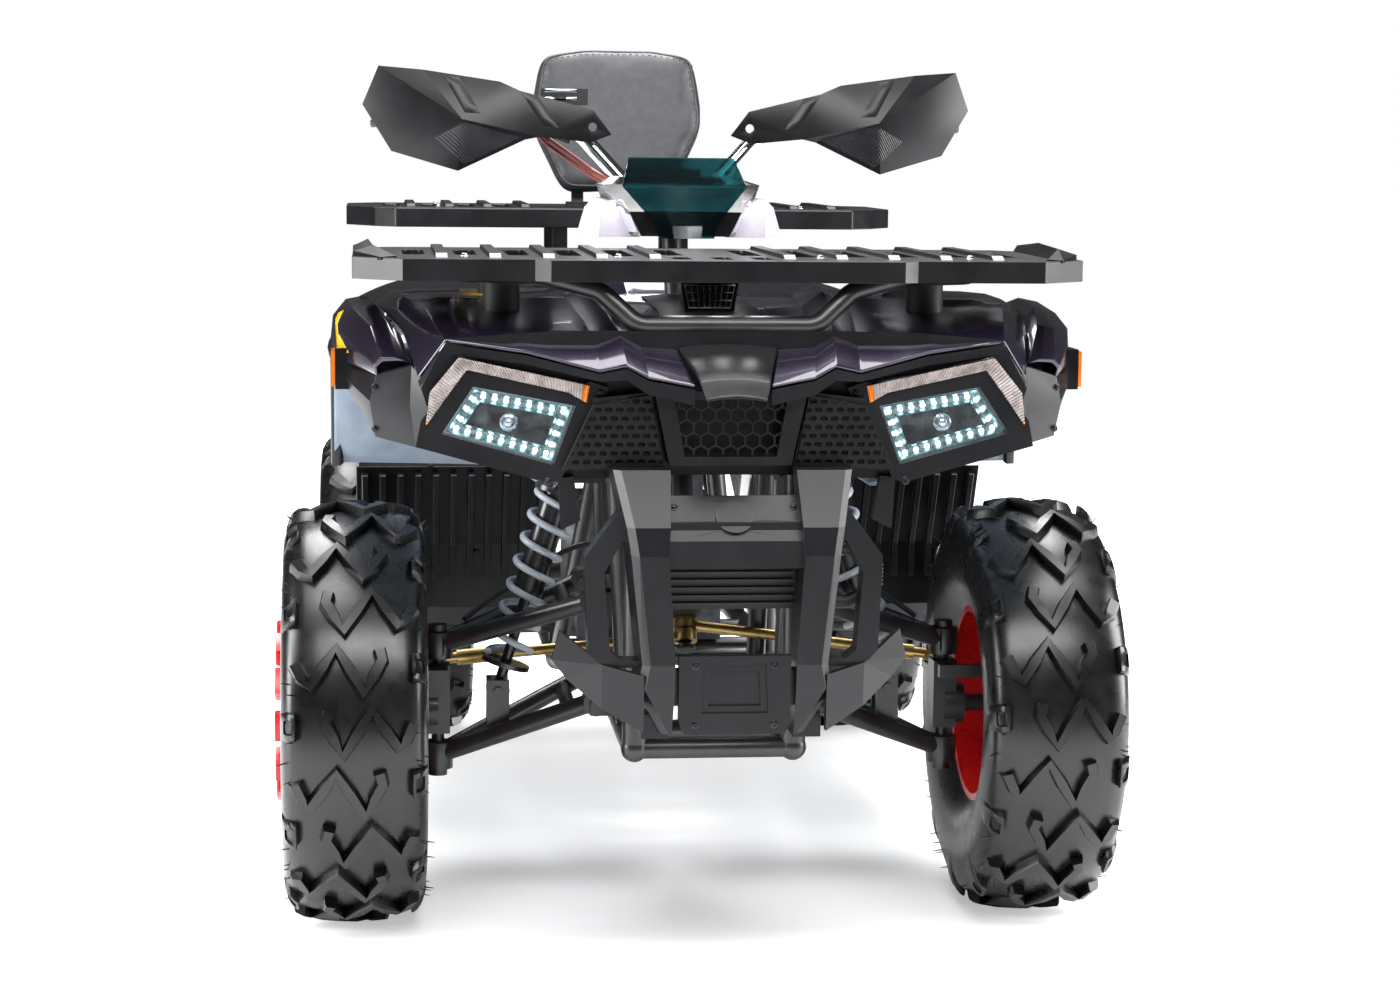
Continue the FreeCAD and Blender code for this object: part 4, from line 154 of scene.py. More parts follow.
# moulded thermoplastic with a spark-eroded grain: fine leathery pits that break up the highlights
grainedPlastic = {"tones": ("0c0c0e", "151518"), "stainMm": 60.0, "rough": (0.24, 0.37), "grain": "F1",
                  "grainMm": 0.9, "depthMm": 0.1, "bump": 0.3,
                  "shader": {"IOR": 1.5, "Specular IOR Level": 0.32}}
slatePlastic = {**grainedPlastic, "tones": ("8591a0", "9eaab7"), "rough": (0.42, 0.56)}
weavePlastic = {**grainedPlastic, "tones": ("141416", "2a2a2d"), "grain": "bands", "grainMm": 7.0,
                "depthMm": 0.6, "bump": 0.8}
glossPlastic = {"tones": ("0a0a0b", "151518"), "stainMm": 35.0, "rough": (0.08, 0.2), "grainMm": 35.0,
                "depthMm": 0.2, "bump": 0.08,
                "shader": {"IOR": 1.5, "Coat Weight": 0.4, "Coat Roughness": 0.05}}
# moulded plastic under metallic lacquer: small flakes in the colour, a clear coat that mirrors the room
plumLacquer = {"tones": ("110b19", "362c44"), "stainMm": 180.0, "span": (0.35, 1.0), "stainDetail": 2.0,
               "rough": (0.24, 0.34), "grain": "F1", "flakes": True, "grainMm": 0.5,
               "depthMm": 0.35, "bump": 0.2,
               "shader": {"Metallic": 0.6, "Coat Weight": 1.0, "Coat Roughness": 0.03}}
lilacLacquer = {**plumLacquer, "tones": ("d0cada", "eeebf3"), "rough": (0.22, 0.32),
                "shader": {"Metallic": 0.25, "Coat Weight": 1.0, "Coat Roughness": 0.04}}
# steel under powder coat: orange-peel ripple about a millimetre and a half across
powderCoat = {"tones": ("121213", "202022"), "stainMm": 45.0, "span": (0.35, 0.75), "rough": (0.3, 0.48),
              "grainMm": 1.6, "depthMm": 0.15, "grainDetail": 2.0,
              "shader": {"IOR": 1.5, "Coat Weight": 0.25, "Coat Roughness": 0.2}}
# bare or plated metal: fine tool marks and a slightly mottled surface
bareMetal = {"tones": ("6f7072", "8f9092"), "stainMm": 18.0, "rough": (0.28, 0.46), "grainMm": 1.2,
             "depthMm": 0.08, "bump": 0.25, "shader": {"Metallic": 1.0}}
# vinyl cover embossed like leather: cells about two millimetres across
seatVinyl = {"tones": ("222326", "303135"), "stainMm": 14.0, "rough": (0.44, 0.56),
             "grain": "DISTANCE_TO_EDGE", "grainMm": 2.4, "depthMm": 0.3, "bump": 0.45,
             "shader": {"IOR": 1.5, "Coat Weight": 0.15, "Coat Roughness": 0.35}}
# clear or tinted polycarbonate with a trace of dust
clearLens = {"tones": ("e8eff2", "f6fafb"), "stainMm": 12.0, "rough": (0.02, 0.07), "bump": 0.03,
             "shader": {"IOR": 1.49, "Transmission Weight": 1.0}}

finish = {
    "tyre_rubber": makeFinish("blackTyreRubber", tyreRubber),
    "red_rim": makeFinish("redPowderCoat", powderCoat, tones=("c00c0f", "dc1815"), rough=(0.22, 0.34)),
    "hub_steel": makeFinish("turnedSteel", bareMetal),
    "zinc_gold": makeFinish("yellowZincPlate", bareMetal, tones=("a5884f", "c9ac70")),
    "cast_black": makeFinish("blackCastIronPaint", powderCoat, grainMm=2.4, rough=(0.36, 0.54)),
    "frame_black": makeFinish("blackPowderCoat", powderCoat),
    "engine_alloy": makeFinish("castAluminium", bareMetal, tones=("55585b", "74777a"), rough=(0.42, 0.6),
                               grainMm=2.2, depthMm=0.25),
    "chain_steel": makeFinish("oiledChainSteel", bareMetal, tones=("4a4640", "6d6859")),
    "silencer_black": makeFinish("heatProofBlack", powderCoat, tones=("1c1b1a", "2e2c2a"), rough=(0.5, 0.7)),
    "plum_gloss": makeFinish("darkPlumLacquer", plumLacquer),
    "lilac_gloss": makeFinish("lilacSilverLacquer", lilacLacquer),
    "textured_black": makeFinish("grainedBlackPlastic", grainedPlastic),
    "slate_plastic": makeFinish("slateMouldedPlastic", slatePlastic),
    "gloss_black": makeFinish("glossBlackPlastic", glossPlastic),
    "lamp_reflector": makeFinish("vacuumMetallised", bareMetal, tones=("9aa3a8", "c6ccd0"), rough=(0.1, 0.2),
                                 grainMm=6.0, depthMm=0.05),
    "clear_lens": makeFinish("clearPolycarbonate", clearLens),
    "amber_lens": makeFinish("amberLensPlastic", glossPlastic, tones=("b8590f", "e0781f"), glow=0.1),
    "red_lens": makeFinish("redLensPlastic", glossPlastic, tones=("8e0808", "b01010")),
    "led_white": makeFinish("coldWhiteLamp", glossPlastic, tones=("e4fbff", "ffffff"), glow=5.0),
    "spring_grey": makeFinish("paleGreySpringCoat", powderCoat, tones=("9aa1a7", "b9bec3"), rough=(0.24, 0.4)),
    "damper_black": makeFinish("blackDamperPaint", powderCoat, rough=(0.2, 0.36)),
    "seat_vinyl": makeFinish("blackSeatVinyl", seatVinyl),
    "grip_rubber": makeFinish("softGripRubber", softRubber),
    "bar_chrome": makeFinish("chromePlate", bareMetal, tones=("c6c8ca", "e2e4e6"), rough=(0.06, 0.14),
                             grainMm=8.0, depthMm=0.02),
    "smoke_screen": makeFinish("smokedTealPolycarbonate", clearLens, tones=("0e4046", "174f55"),
                               rough=(0.05, 0.12)),
    "hose_rubber": makeFinish("blackHoseRubber", softRubber, rough=(0.42, 0.58)),
    "cable_brown": makeFinish("redBrownCableSheath", softRubber, tones=("6e2316", "8a3423"), rough=(0.32, 0.48)),
    "cooler_alloy": makeFinish("blackCoolerPaint", powderCoat, tones=("0e0e0f", "191919"), rough=(0.44, 0.6)),
}
extraFinish = {
    "weave": makeFinish("weaveGrainPlastic", weavePlastic),
    "yellow": makeFinish("yellowStripeFilm", glossPlastic, tones=("e6a800", "f2b90c"), rough=(0.2, 0.32)),
    "boltHead": makeFinish("blackedSteelScrew", bareMetal, tones=("2a2a2c", "414143"), rough=(0.3, 0.45)),
    "zincScrew": makeFinish("zincPlatedScrew", bareMetal, tones=("9c9ea0", "bfc1c2"), rough=(0.25, 0.4)),
    # a metal ring that glows faintly though it is no lamp: a painted glow
    "ringPaintedGlow": makeFinish("silverRingPaintedGlow", bareMetal, tones=("5d7377", "a9c4c8"), rough=(0.2, 0.35),
                             stainMm=9.0, glow=0.10),
    "smokedChrome": makeFinish("smokedChromeReflector", bareMetal, tones=("544a45", "b4babd"), stainMm=22.0,
                               rough=(0.08, 0.18), grainMm=6.0, depthMm=0.05),
    # a near-black sheet set behind the holed plates as painted shade in their holes
    "paintedShadeBlack": makeFinish("paintedShadeSheet", {}, tones=("030303", "070707"), rough=(0.8, 0.95)),
    "ribbedLens": makeFinish("ribbedStripLens", clearLens, tones=("a1938f", "e2d9d6"), rough=(0.1, 0.18),
                             shader={"IOR": 1.49, "Transmission Weight": 0.5}),
    "stitch": makeFinish("blackPolyesterThread", softRubber, tones=("0e0e0f", "1c1c1e"), rough=(0.6, 0.75),
                         grainMm=0.6),
}
print("materials made:", len(finish) + len(extraFinish))

slotOf = {p["node"]: p["material_slot"] for p in frame["record"]["subparts"]}
for name, thing in node.items():
    thing.data.materials.clear()
    thing.data.materials.append(finish[slotOf[name]])

# moulded and cast pieces have no knife edges: their corners are taken off by a millimetre or so, and
# facets that meet at a small angle are shaded as one curved face
softEdges = {
    0.0028: ("hood_panels", "dash_cowl", "tank_cover", "pod_panels"),
    0.0022: ("front_bumper", "hand_guards", "fender_flares", "front_rack", "rear_rack", "fascia",
             "hood_centre"),
    0.0012: ("grille", "instrument_pod", "footwells", "tail_panel", "marker_housings", "arch_liners",
             "front_arms", "steering_stem", "brake_controls", "engine_block", "tow_hitch"),
}
curvedFaces = {"hand_guards": 42, "hood_panels": 22, "rear_fenders": 40, "fender_flares": 24, "tank_cover": 24,
               "pod_panels": 30, "dash_cowl": 30, "arch_liners": 40, "hood_centre": 26, "windscreen": 12}
edgeSettings = {"weld": 0.00002, "segments": 3, "angleDeg": 14}


def startTree(name, inputs):
    # an empty tree with its named inputs, the geometry first
    tree = bpy.data.node_groups.new(name, "GeometryNodeTree")
    for title, kind in (("Geometry", "Geometry"), *inputs):
        tree.interface.new_socket(title, in_out="INPUT", socket_type="NodeSocket" + kind)
    tree.interface.new_socket("Geometry", in_out="OUTPUT", socket_type="NodeSocketGeometry")
    return tree, addNode(tree, "NodeGroupInput").outputs


def runTree(thing, name, tree, values):
    maker = thing.modifiers.new(name, "NODES")
    maker.node_group = tree
    for item in tree.interface.items_tree:
        if item.in_out == "INPUT" and item.name in values:
            maker[item.identifier] = values[item.name]


def smoothTree():
    tree, given = startTree("curvedShading", [("Crease Angle", "Float")])
    bend = addNode(tree, "GeometryNodeInputMeshEdgeAngle").outputs["Unsigned Angle"]
    gentle = addNode(tree, "FunctionNodeCompare", {"data_type": "FLOAT", "operation": "LESS_EQUAL"},
                     {0: bend, 1: given["Crease Angle"]})
    faces = addNode(tree, "GeometryNodeSetShadeSmooth", {"domain": "FACE"}, {"Geometry": given["Geometry"]})
    edges = addNode(tree, "GeometryNodeSetShadeSmooth", {"domain": "EDGE"},
                    {"Geometry": faces.outputs[0], "Shade Smooth": gentle.outputs[0]})
    addNode(tree, "NodeGroupOutput", links={0: edges.outputs[0]})
    return tree


shadeTree = smoothTree()
for width, names in softEdges.items():
    for name in names:
        node[name].modifiers.new("joined", "WELD").merge_threshold = edgeSettings["weld"]
        bevel = node[name].modifiers.new("softEdge", "BEVEL")
        bevel.width, bevel.segments, bevel.limit_method = width, edgeSettings["segments"], "ANGLE"
        bevel.angle_limit = math.radians(edgeSettings["angleDeg"])
        bevel.use_clamp_overlap = True
for name, crease in curvedFaces.items():
    if "joined" not in node[name].modifiers:
        node[name].modifiers.new("joined", "WELD").merge_threshold = edgeSettings["weld"]
    runTree(node[name], "curved", shadeTree, {"Crease Angle": math.radians(crease)})
print("finishes on the CAD nodes:", len(node))


# geometry helpers
def linkThing(name, mesh, material):
    made = bpy.data.objects.new(name, mesh)
    bpy.context.scene.collection.objects.link(made)
    mesh.materials.clear()
    mesh.materials.append(material)
    return made


def bakeModifiers(thing):
    graph = bpy.context.evaluated_depsgraph_get()
    mesh = bpy.data.meshes.new_from_object(thing.evaluated_get(graph))
    thing.modifiers.clear()
    thing.data = mesh
    return mesh


def meshFrom(name, bm):
    mesh = bpy.data.meshes.new(name)
    bm.to_mesh(mesh)
    bm.free()
    return mesh


def cleanMesh(name, bm):
    bmesh.ops.remove_doubles(bm, verts=bm.verts, dist=1e-6)
    bmesh.ops.recalc_face_normals(bm, faces=bm.faces)
    return meshFrom(name, bm)


def joinInto(bm, other):
    mesh = meshFrom("joined", other)
    bm.from_mesh(mesh)
    bpy.data.meshes.remove(mesh)


def readyPiece(name, mesh, material, body, creaseDeg):
    made = linkThing(name, mesh, material)
    for polygon in mesh.polygons:
        polygon.use_smooth = True
    mesh.set_sharp_from_angle(angle=math.radians(creaseDeg))
    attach(made, body)
    return made


def pieceFrom(name, bm, material, body, creaseDeg):
    return readyPiece(name, cleanMesh(name, bm), material, body, creaseDeg)


def pairFrom(name, bm, material, creaseDeg):
    # the shape and its mirror image, as one piece of the chassis
    half = bm.copy()
    bmesh.ops.scale(half, vec=(-1, 1, 1), verts=half.verts)
    joinInto(bm, half)
    pieceFrom(name, bm, material, "chassis", creaseDeg)


def skinRings(bm, rows, looped=False, capped=True):
    # quads between rings of points, with the two ends joined or filled
    rings = [[bm.verts.new(p) for p in row] for row in rows]
    if looped:
        rings.append(rings[0])
    for a, b in zip(rings, rings[1:]):
        for i in range(len(a)):
            j = (i + 1) % len(a)
            bm.faces.new((a[i], a[j], b[j], b[i]))
    if capped and not looped:
        bm.faces.new(list(reversed(rings[0])))
        bm.faces.new(rings[-1])


def solidFrom(rows, looped=False):
    bm = bmesh.new()
    skinRings(bm, rows, looped)
    return bm


def circle(radius, sides):
    angles = [math.tau * i / sides for i in range(sides)]
    return [(radius * math.cos(a), radius * math.sin(a)) for a in angles]


def lathe(profile, sides):
    # turned about Z; rows are a radius, a height and a share for every second corner, in millimetres
    rows = []
    for radius, height, dent in profile:
        full, drawn = circle(radius, sides), circle(radius * dent, sides)
        rows.append([(x / 1000, y / 1000, height / 1000)
                     for i in range(sides) for x, y in (full[i] if i % 2 else drawn[i],)])
    return solidFrom(rows)


surfaces = {}


def castOn(thing, start, aim):
    # where a line from start along aim first meets the piece, and the way its face looks
    if thing.name not in surfaces:
        surfaces[thing.name] = BVHTree.FromPolygons([v.co for v in thing.data.vertices],
                                                    [p.vertices[:] for p in thing.data.polygons])
    aim = Vector(aim).normalized()
    place, facing, _, _ = surfaces[thing.name].ray_cast(Vector(start), aim)
    if place is None:
        return None, None
    return place, (facing if facing.dot(aim) < 0 else -facing)


# one tree sets a unit shape on marked points, one sets it round an axle
def endTree(tree, given, links):
    unit = addNode(tree, "GeometryNodeObjectInfo", links={"Object": given["Unit"]})
    placed = addNode(tree, "GeometryNodeInstanceOnPoints",
                     links={"Instance": unit.outputs["Geometry"], **links})
    plain = addNode(tree, "GeometryNodeRealizeInstances", links={"Geometry": placed.outputs[0]})
    coated = addNode(tree, "GeometryNodeSetMaterial",
                     links={"Geometry": plain.outputs[0], "Material": given["Finish"]})
    addNode(tree, "NodeGroupOutput", links={0: coated.outputs[0]})
    return tree


def placedTree():
    tree, given = startTree("setOnPoints", [("Unit", "Object"), ("Roll Jitter", "Float"), ("Seed", "Int"),
                                            ("Finish", "Material")])
    turn, grow = (addNode(tree, "GeometryNodeInputNamedAttribute", {"data_type": kind, "Name": name})
                  for name, kind in (("turn", "FLOAT_VECTOR"), ("grow", "FLOAT")))
    roll = addNode(tree, "FunctionNodeRandomValue", {"data_type": "FLOAT"}, {"Seed": given["Seed"]})
    twist = addNode(tree, "ShaderNodeMath", {"operation": "MULTIPLY"},
                    {0: roll.outputs[1], 1: given["Roll Jitter"]})
    spin = addNode(tree, "ShaderNodeCombineXYZ", links={"Z": twist.outputs[0]})
    both = addNode(tree, "FunctionNodeRotateRotation", {"rotation_space": "LOCAL"},
                   {"Rotation": turn.outputs["Attribute"], "Rotate By": spin.outputs[0]})
    return endTree(tree, given, {"Points": given["Geometry"], "Rotation": both.outputs[0],
                                 "Scale": grow.outputs["Attribute"]})


def axleTree():
    tree, given = startTree("setRoundAxle", [("Unit", "Object"), ("Count", "Int"), ("Start Angle", "Float"),
                                             ("Finish", "Material")])
    line = addNode(tree, "GeometryNodeMeshLine", {"Offset": (0, 0, 0)}, {"Count": given["Count"]})
    index = addNode(tree, "GeometryNodeInputIndex")
    share = addNode(tree, "ShaderNodeMath", {"operation": "DIVIDE"}, {0: index.outputs[0], 1: given["Count"]})
    angle = addNode(tree, "ShaderNodeMath", {"operation": "MULTIPLY_ADD"},
                    {0: share.outputs[0], 2: given["Start Angle"]})
    angle.inputs[1].default_value = math.tau
    spin = addNode(tree, "ShaderNodeCombineXYZ", links={"X": angle.outputs[0]})
    return endTree(tree, given, {"Points": line.outputs[0], "Rotation": spin.outputs[0]})


pointTree, wheelTree = placedTree(), axleTree()


def grown(name, carrier, tree, unitShape, values):
    # runs one of the two trees on a carrier mesh and returns the plain mesh it grows; the unit is dropped
    thing = bpy.data.objects.new(name, carrier)
    unit = bpy.data.objects.new("unit", cleanMesh("unit", unitShape))
    for made in (thing, unit):
        bpy.context.scene.collection.objects.link(made)
    runTree(thing, "repeat", tree, {"Unit": unit, **values})
    mesh, unitMesh = bakeModifiers(thing), unit.data
    for made in (thing, unit):
        bpy.data.objects.remove(made)
    bpy.data.meshes.remove(unitMesh)
    return mesh


def turnTo(facing):
    # the turn that brings a unit's own Z to the facing
    return Vector(facing).to_track_quat("Z", "Y").to_euler()


def pointCarrier(places):
    # places: (position, turn, size)
    mesh = bpy.data.meshes.new("carrier")
    mesh.from_pydata([p for p, _, _ in places], [], [])
    mesh.attributes.new("turn", "FLOAT_VECTOR", "POINT")
    mesh.attributes.new("grow", "FLOAT", "POINT")
    for i, (_, turn, size) in enumerate(places):
        mesh.attributes["turn"].data[i].vector = turn
        mesh.attributes["grow"].data[i].value = size
    return mesh


def scatter(name, unit, places, material, jitter=0.0, seed=4, creaseDeg=35):
    # unit shapes on points of the chassis
    mesh = grown(name, pointCarrier(places), pointTree, unit,
                 {"Roll Jitter": jitter, "Seed": seed, "Finish": material})
    return readyPiece(name, mesh, material, "chassis", creaseDeg)


# padded pieces: the CAD solid is drawn in, remeshed, blown up as cloth and capped, then piped and stitched
seatSettings = {"node": "seat", "drawIn": 0.005, "voxel": 0.006, "pressure": 4.0, "cap": 0.008,
                "evenRounds": 10, "fill": 0.75}
backrestSettings = {"node": "backrest_pad", "drawIn": 0.006, "voxel": 0.005, "pressure": 4.0, "cap": 0.005,
                    "evenRounds": 16, "fill": 0.7}
coverSettings = {"stretch": 30, "shear": 12, "frames": 20, "softRounds": 6}


def drawIn(mesh, amount):
    bm = bmesh.new()
    bm.from_mesh(mesh)
    bmesh.ops.remove_doubles(bm, verts=bm.verts, dist=1e-5)
    bmesh.ops.recalc_face_normals(bm, faces=bm.faces)
    bmesh.ops.dissolve_limit(bm, angle_limit=math.radians(1), verts=bm.verts, edges=bm.edges)
    moves = {v: v.normal * amount * v.calc_shell_factor() for v in bm.verts}
    for v, move in moves.items():
        v.co -= move
    bm.to_mesh(mesh)
    bm.free()


def puffUp(thing, s):
    start = [v.co.copy() for v in thing.data.vertices]
    cloth = thing.modifiers.new("padding", "CLOTH")
    cloth.settings.use_pressure = True
    cloth.settings.uniform_pressure_force = s["pressure"]
    cloth.settings.effector_weights.gravity = 0
    cloth.settings.tension_stiffness = cloth.settings.compression_stiffness = coverSettings["stretch"]
    cloth.settings.shear_stiffness = coverSettings["shear"]
    cloth.point_cache.frame_start, cloth.point_cache.frame_end = 1, coverSettings["frames"]
    for frameNumber in range(1, coverSettings["frames"] + 1):
        bpy.context.scene.frame_set(frameNumber)
    graph = bpy.context.evaluated_depsgraph_get()
    moved = [v.co.copy() for v in thing.evaluated_get(graph).to_mesh().vertices]
    thing.modifiers.clear()
    for v, old, fresh in zip(thing.data.vertices, start, moved):
        step = fresh - old
        if step.length > s["cap"]:
            step = step.normalized() * s["cap"]
        v.co = old + step
    bpy.context.scene.frame_set(1)


def padFromNode(s, newName):
    pad = linkThing(newName, node[s["node"]].data.copy(), finish["seat_vinyl"])
    drawIn(pad.data, s["drawIn"])
    remesh = pad.modifiers.new("even", "REMESH")
    remesh.mode, remesh.voxel_size = "VOXEL", s["voxel"]
    pad.modifiers.new("soft", "SMOOTH").iterations = coverSettings["softRounds"]
    bakeModifiers(pad)
    puffUp(pad, s)
    pad.modifiers.new("taut", "SMOOTH").iterations = s["evenRounds"]
    subdivide = pad.modifiers.new("fine", "SUBSURF")
    subdivide.levels = subdivide.render_levels = 1
    mesh = bakeModifiers(pad)
    mesh.materials.clear()
    mesh.materials.append(finish["seat_vinyl"])
    for polygon in mesh.polygons:
        polygon.use_smooth = True
    return pad


saddle = padFromNode(seatSettings, "saddlePad")
backPad = padFromNode(backrestSettings, "backrestCushion")
for pad, s in ((saddle, seatSettings), (backPad, backrestSettings)):
    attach(pad, "chassis")
    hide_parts(s["node"])
print("padded pieces made")

# tyres: a smooth carcass, bevelled zigzag bars and hollow shoulder blocks set round the axle, rubber hairs
frontTyre = {
    "centre": (0.430, -0.500, 0.267), "radius": 0.267, "half": 0.0885, "lug": 0.0125, "pairs": 11,
    "bead": (0.066, 0.127), "barHalf": 0.0066, "start": 0.05, "hairs": 120,
}
rearTyre = {
    "centre": (0.370, 0.700, 0.254), "radius": 0.254, "half": 0.1245, "lug": 0.0125, "pairs": 10,
    "bead": (0.098, 0.127), "barHalf": 0.0085, "start": 0.05, "hairs": 110,
}
# the bar's middle line: share of the half width, and millimetres round the tyre
barLine = ((-0.80, 8), (-0.70, -12), (-0.60, -22), (-0.42, 1), (-0.24, 25), (-0.05, -2), (0.14, -30),
           (0.27, -9), (0.38, 10), (0.34, 24))
# the bar's section: share of its half width, share of the lug's height; its feet are sunk by barFoot
barSection = ((1.30, 0.0), (1.12, 0.70), (0.86, 1.0), (-0.86, 1.0), (-1.12, 0.70), (-1.30, 0.0))
barFoot = -0.003
# the shoulder block from foot to hollow: half width as a share, half length, share of the lug's height
shoulderSteps = ((0.118, 0.0205, -0.32), (0.110, 0.0188, 0.72), (0.098, 0.0168, 0.98), (0.062, 0.0098, 0.98),
                 (0.054, 0.0084, 0.52))
hairSettings = {"profile": ((1.2, -2.0, 1), (0.9, 6.0, 1), (0.5, 13.0, 1)), "seed": 11, "jitter": 0.5,
                "band": (0.80, 0.97), "size": (0.6, 1.0), "wornDeg": 120}
# the section from bead to crown: share of the half width, share of the way from bead to crown
carcassSection = ((0.745, 0.0), (0.80, 0.07), (0.93, 0.24), (0.985, 0.42), (1.0, 0.58), (0.985, 0.74),
                  (0.93, 0.85), (0.83, 0.915), (0.66, 0.955), (0.45, 0.98), (0.22, 0.995), (0.0, 1.0))


def crownRadius(s, x):
    share = min(abs(x) / s["half"], 1.0)
    bead = s["bead"][1]
    height = s["radius"] - s["lug"] - bead
    rows = carcassSection[:3:-1]
    for (u0, v0), (u1, v1) in zip(rows, rows[1:]):
        if u0 <= share <= u1:
            return bead + (v0 + (v1 - v0) * (share - u0) / (u1 - u0)) * height
    return bead + rows[-1][1] * height


def onTyre(s, x, arc, height):
    # a point of the tread: across, round the tyre, above the carcass; lugs get lower past the shoulder
    radius = crownRadius(s, x) + height
    share = abs(x) / s["half"]
    if share > 0.85:
        radius -= (share - 0.85) * height * 2.2
    angle = arc / s["radius"]
    return Vector((x, radius * math.sin(angle), radius * math.cos(angle)))


def addCarcass(bm, s):
    outer = [(sign * u * s["half"], s["bead"][1] + v * (s["radius"] - s["lug"] - s["bead"][1]))
             for sign, rows in ((-1, carcassSection), (1, carcassSection[-2::-1])) for u, v in rows]
    inner = [(x * 0.9, r - 0.008 if r > s["bead"][1] + 0.01 else r) for x, r in reversed(outer)]
    skinRings(bm, [[(x, r * sine, r * cosine) for x, r in outer + inner] for cosine, sine in circle(1.0, 96)],
              looped=True)


def addBar(bm, s, mirror, shift):
    line = [(mirror * u * s["half"], v / 1000 + shift) for u, v in barLine]
    rows = []
    for i, (x, v) in enumerate(line):
        before, after = line[max(i - 1, 0)], line[min(i + 1, len(line) - 1)]
        way = Vector((after[0] - before[0], after[1] - before[1])).normalized() * s["barHalf"]
        rows.append([onTyre(s, x - way.y * share, v + way.x * share, s["lug"] * high if high else barFoot)
                     for share, high in barSection])
    skinRings(bm, rows)


def addShoulder(bm, s, side, shift):
    # a rounded block with a hollow in its face
    corners = []
    for i in range(12):
        a = math.tau * (i + 0.5) / 12
        c, d = math.cos(a), math.sin(a)
        square = 1 / max(abs(c), abs(d)) ** 0.72
        corners.append((c * square, d * square))
    skinRings(bm, [[onTyre(s, side * (0.885 + c * width) * s["half"], shift + d * length, s["lug"] * high)
                    for c, d in corners] for width, length, high in shoulderSteps])


def hairPlaces(s, seed):
    rng = random.Random(seed)
    places = []
    for _ in range(s["hairs"]):
        arc = rng.uniform(0.0, math.tau) * s["radius"]
        angle = (arc / s["radius"] + s["start"] + math.pi) % math.tau - math.pi
        share = rng.choice((-1, 1)) * rng.uniform(*hairSettings["band"])
        low = abs(angle) > math.radians(hairSettings["wornDeg"])
        sidewards, outwards = (1.4, 0.2) if low else (0.8, 0.8)
        turn = turnTo((math.copysign(sidewards, share), math.sin(arc / s["radius"]) * outwards,
                       math.cos(arc / s["radius"]) * outwards))
        if not low or abs(share) > 0.9:
            foot = onTyre(s, share * s["half"], arc, 0.0)
            places.append((foot, turn, rng.uniform(*hairSettings["size"])))
    return places


def tyreMesh(s, label, seed):
    pair = bmesh.new()
    pitch = math.tau * s["radius"] / s["pairs"]
    addBar(pair, s, 1, 0.0)
    addBar(pair, s, -1, pitch / 2)
    addShoulder(pair, s, 1, 0.004)
    addShoulder(pair, s, -1, pitch / 2 + 0.004)
    tread = grown(label + "Tread", bpy.data.meshes.new("start"), wheelTree, pair,
                  {"Count": s["pairs"], "Start Angle": s["start"], "Finish": finish["tyre_rubber"]})
    hairs = grown(label + "Hairs", pointCarrier(hairPlaces(s, seed)), pointTree,
                  lathe(hairSettings["profile"], 5),
                  {"Roll Jitter": hairSettings["jitter"], "Seed": seed, "Finish": finish["tyre_rubber"]})
    bm = bmesh.new()
    addCarcass(bm, s)
    bmesh.ops.recalc_face_normals(bm, faces=bm.faces)
    bm.from_mesh(tread)
    bm.from_mesh(hairs)
    return bm


def addTyre(name, s, sides, body, replaced):
    whole = bmesh.new()
    for number, side in enumerate(sides):
        one = tyreMesh(s, name, hairSettings["seed"] + number)
        x, y, z = s["centre"]
        bmesh.ops.translate(one, vec=(side * x, y, z), verts=one.verts)
        joinInto(whole, one)
    made = readyPiece(name, meshFrom(name, whole), finish["tyre_rubber"], body, 40)
    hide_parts(replaced)
    print(name, "polygons:", len(made.data.polygons))


addTyre("treadTyreLeft", frontTyre, (1,), "front_wheel_left", "front_tyre_left")
addTyre("treadTyreRight", frontTyre, (-1,), "front_wheel_right", "front_tyre_right")
addTyre("treadTyresRear", rearTyre, (1, -1), "rear_wheels", "rear_tyres")


def millis(x, y, z):
    # a place given in millimetres from the front axle, as metres in the frame of the quad bike
    return Vector((x / 1000, (y - 500) / 1000, z / 1000))


def along(line, share):
    # the point at a share of a line's whole length
    spans = [math.dist(a, b) for a, b in zip(line, line[1:])]
    rest = share * sum(spans)
    for (a, b), span in zip(zip(line, line[1:]), spans):
        if rest <= span:
            t = rest / span if span else 0
            return tuple(p + (q - p) * t for p, q in zip(a, b))
        rest -= span
    return line[-1]


def inset(outline, gap):
    # the outline (x, z) moved inwards by a gap, corners kept
    area = sum(a[0] * b[1] - b[0] * a[1] for a, b in zip(outline, outline[1:] + outline[:1]))
    side = 1 if area > 0 else -1
    lines = []
    for a, b in zip(outline, outline[1:] + outline[:1]):
        way = Vector((b[0] - a[0], b[1] - a[1])).normalized()
        inward = Vector((-way.y, way.x)) * side * gap
        lines.append((Vector(a) + inward, way))
    corners = []
    for (p, u), (q, v) in zip(lines[-1:] + lines[:-1], lines):
        across = u.x * v.y - u.y * v.x
        t = ((q.x - p.x) * v.y - (q.y - p.y) * v.x) / across
        corners.append((p.x + u.x * t, p.y + u.y * t))
    return corners


def tubeAlong(bm, points, radius, sides=8, closed=False):
    rows = []
    for i, here in enumerate(points):
        before = points[i - 1] if i or closed else here
        after = points[(i + 1) % len(points)] if i < len(points) - 1 or closed else here
        way = (after - before).normalized()
        first = way.cross(Vector((0, 0, 1)) if abs(way.z) < 0.9 else Vector((0, 1, 0))).normalized()
        second = way.cross(first)
        rows.append([here + first * u + second * v for u, v in circle(radius, sides)])
    skinRings(bm, rows, looped=closed)


def smoothLine(points, closed, rounds=3):
    for _ in range(rounds):
        count = len(points)
        points = [(points[i - 1] + points[i] * 2 + points[(i + 1) % count]) / 4 if closed or 0 < i < count - 1
                  else points[i] for i in range(count)]
    return points


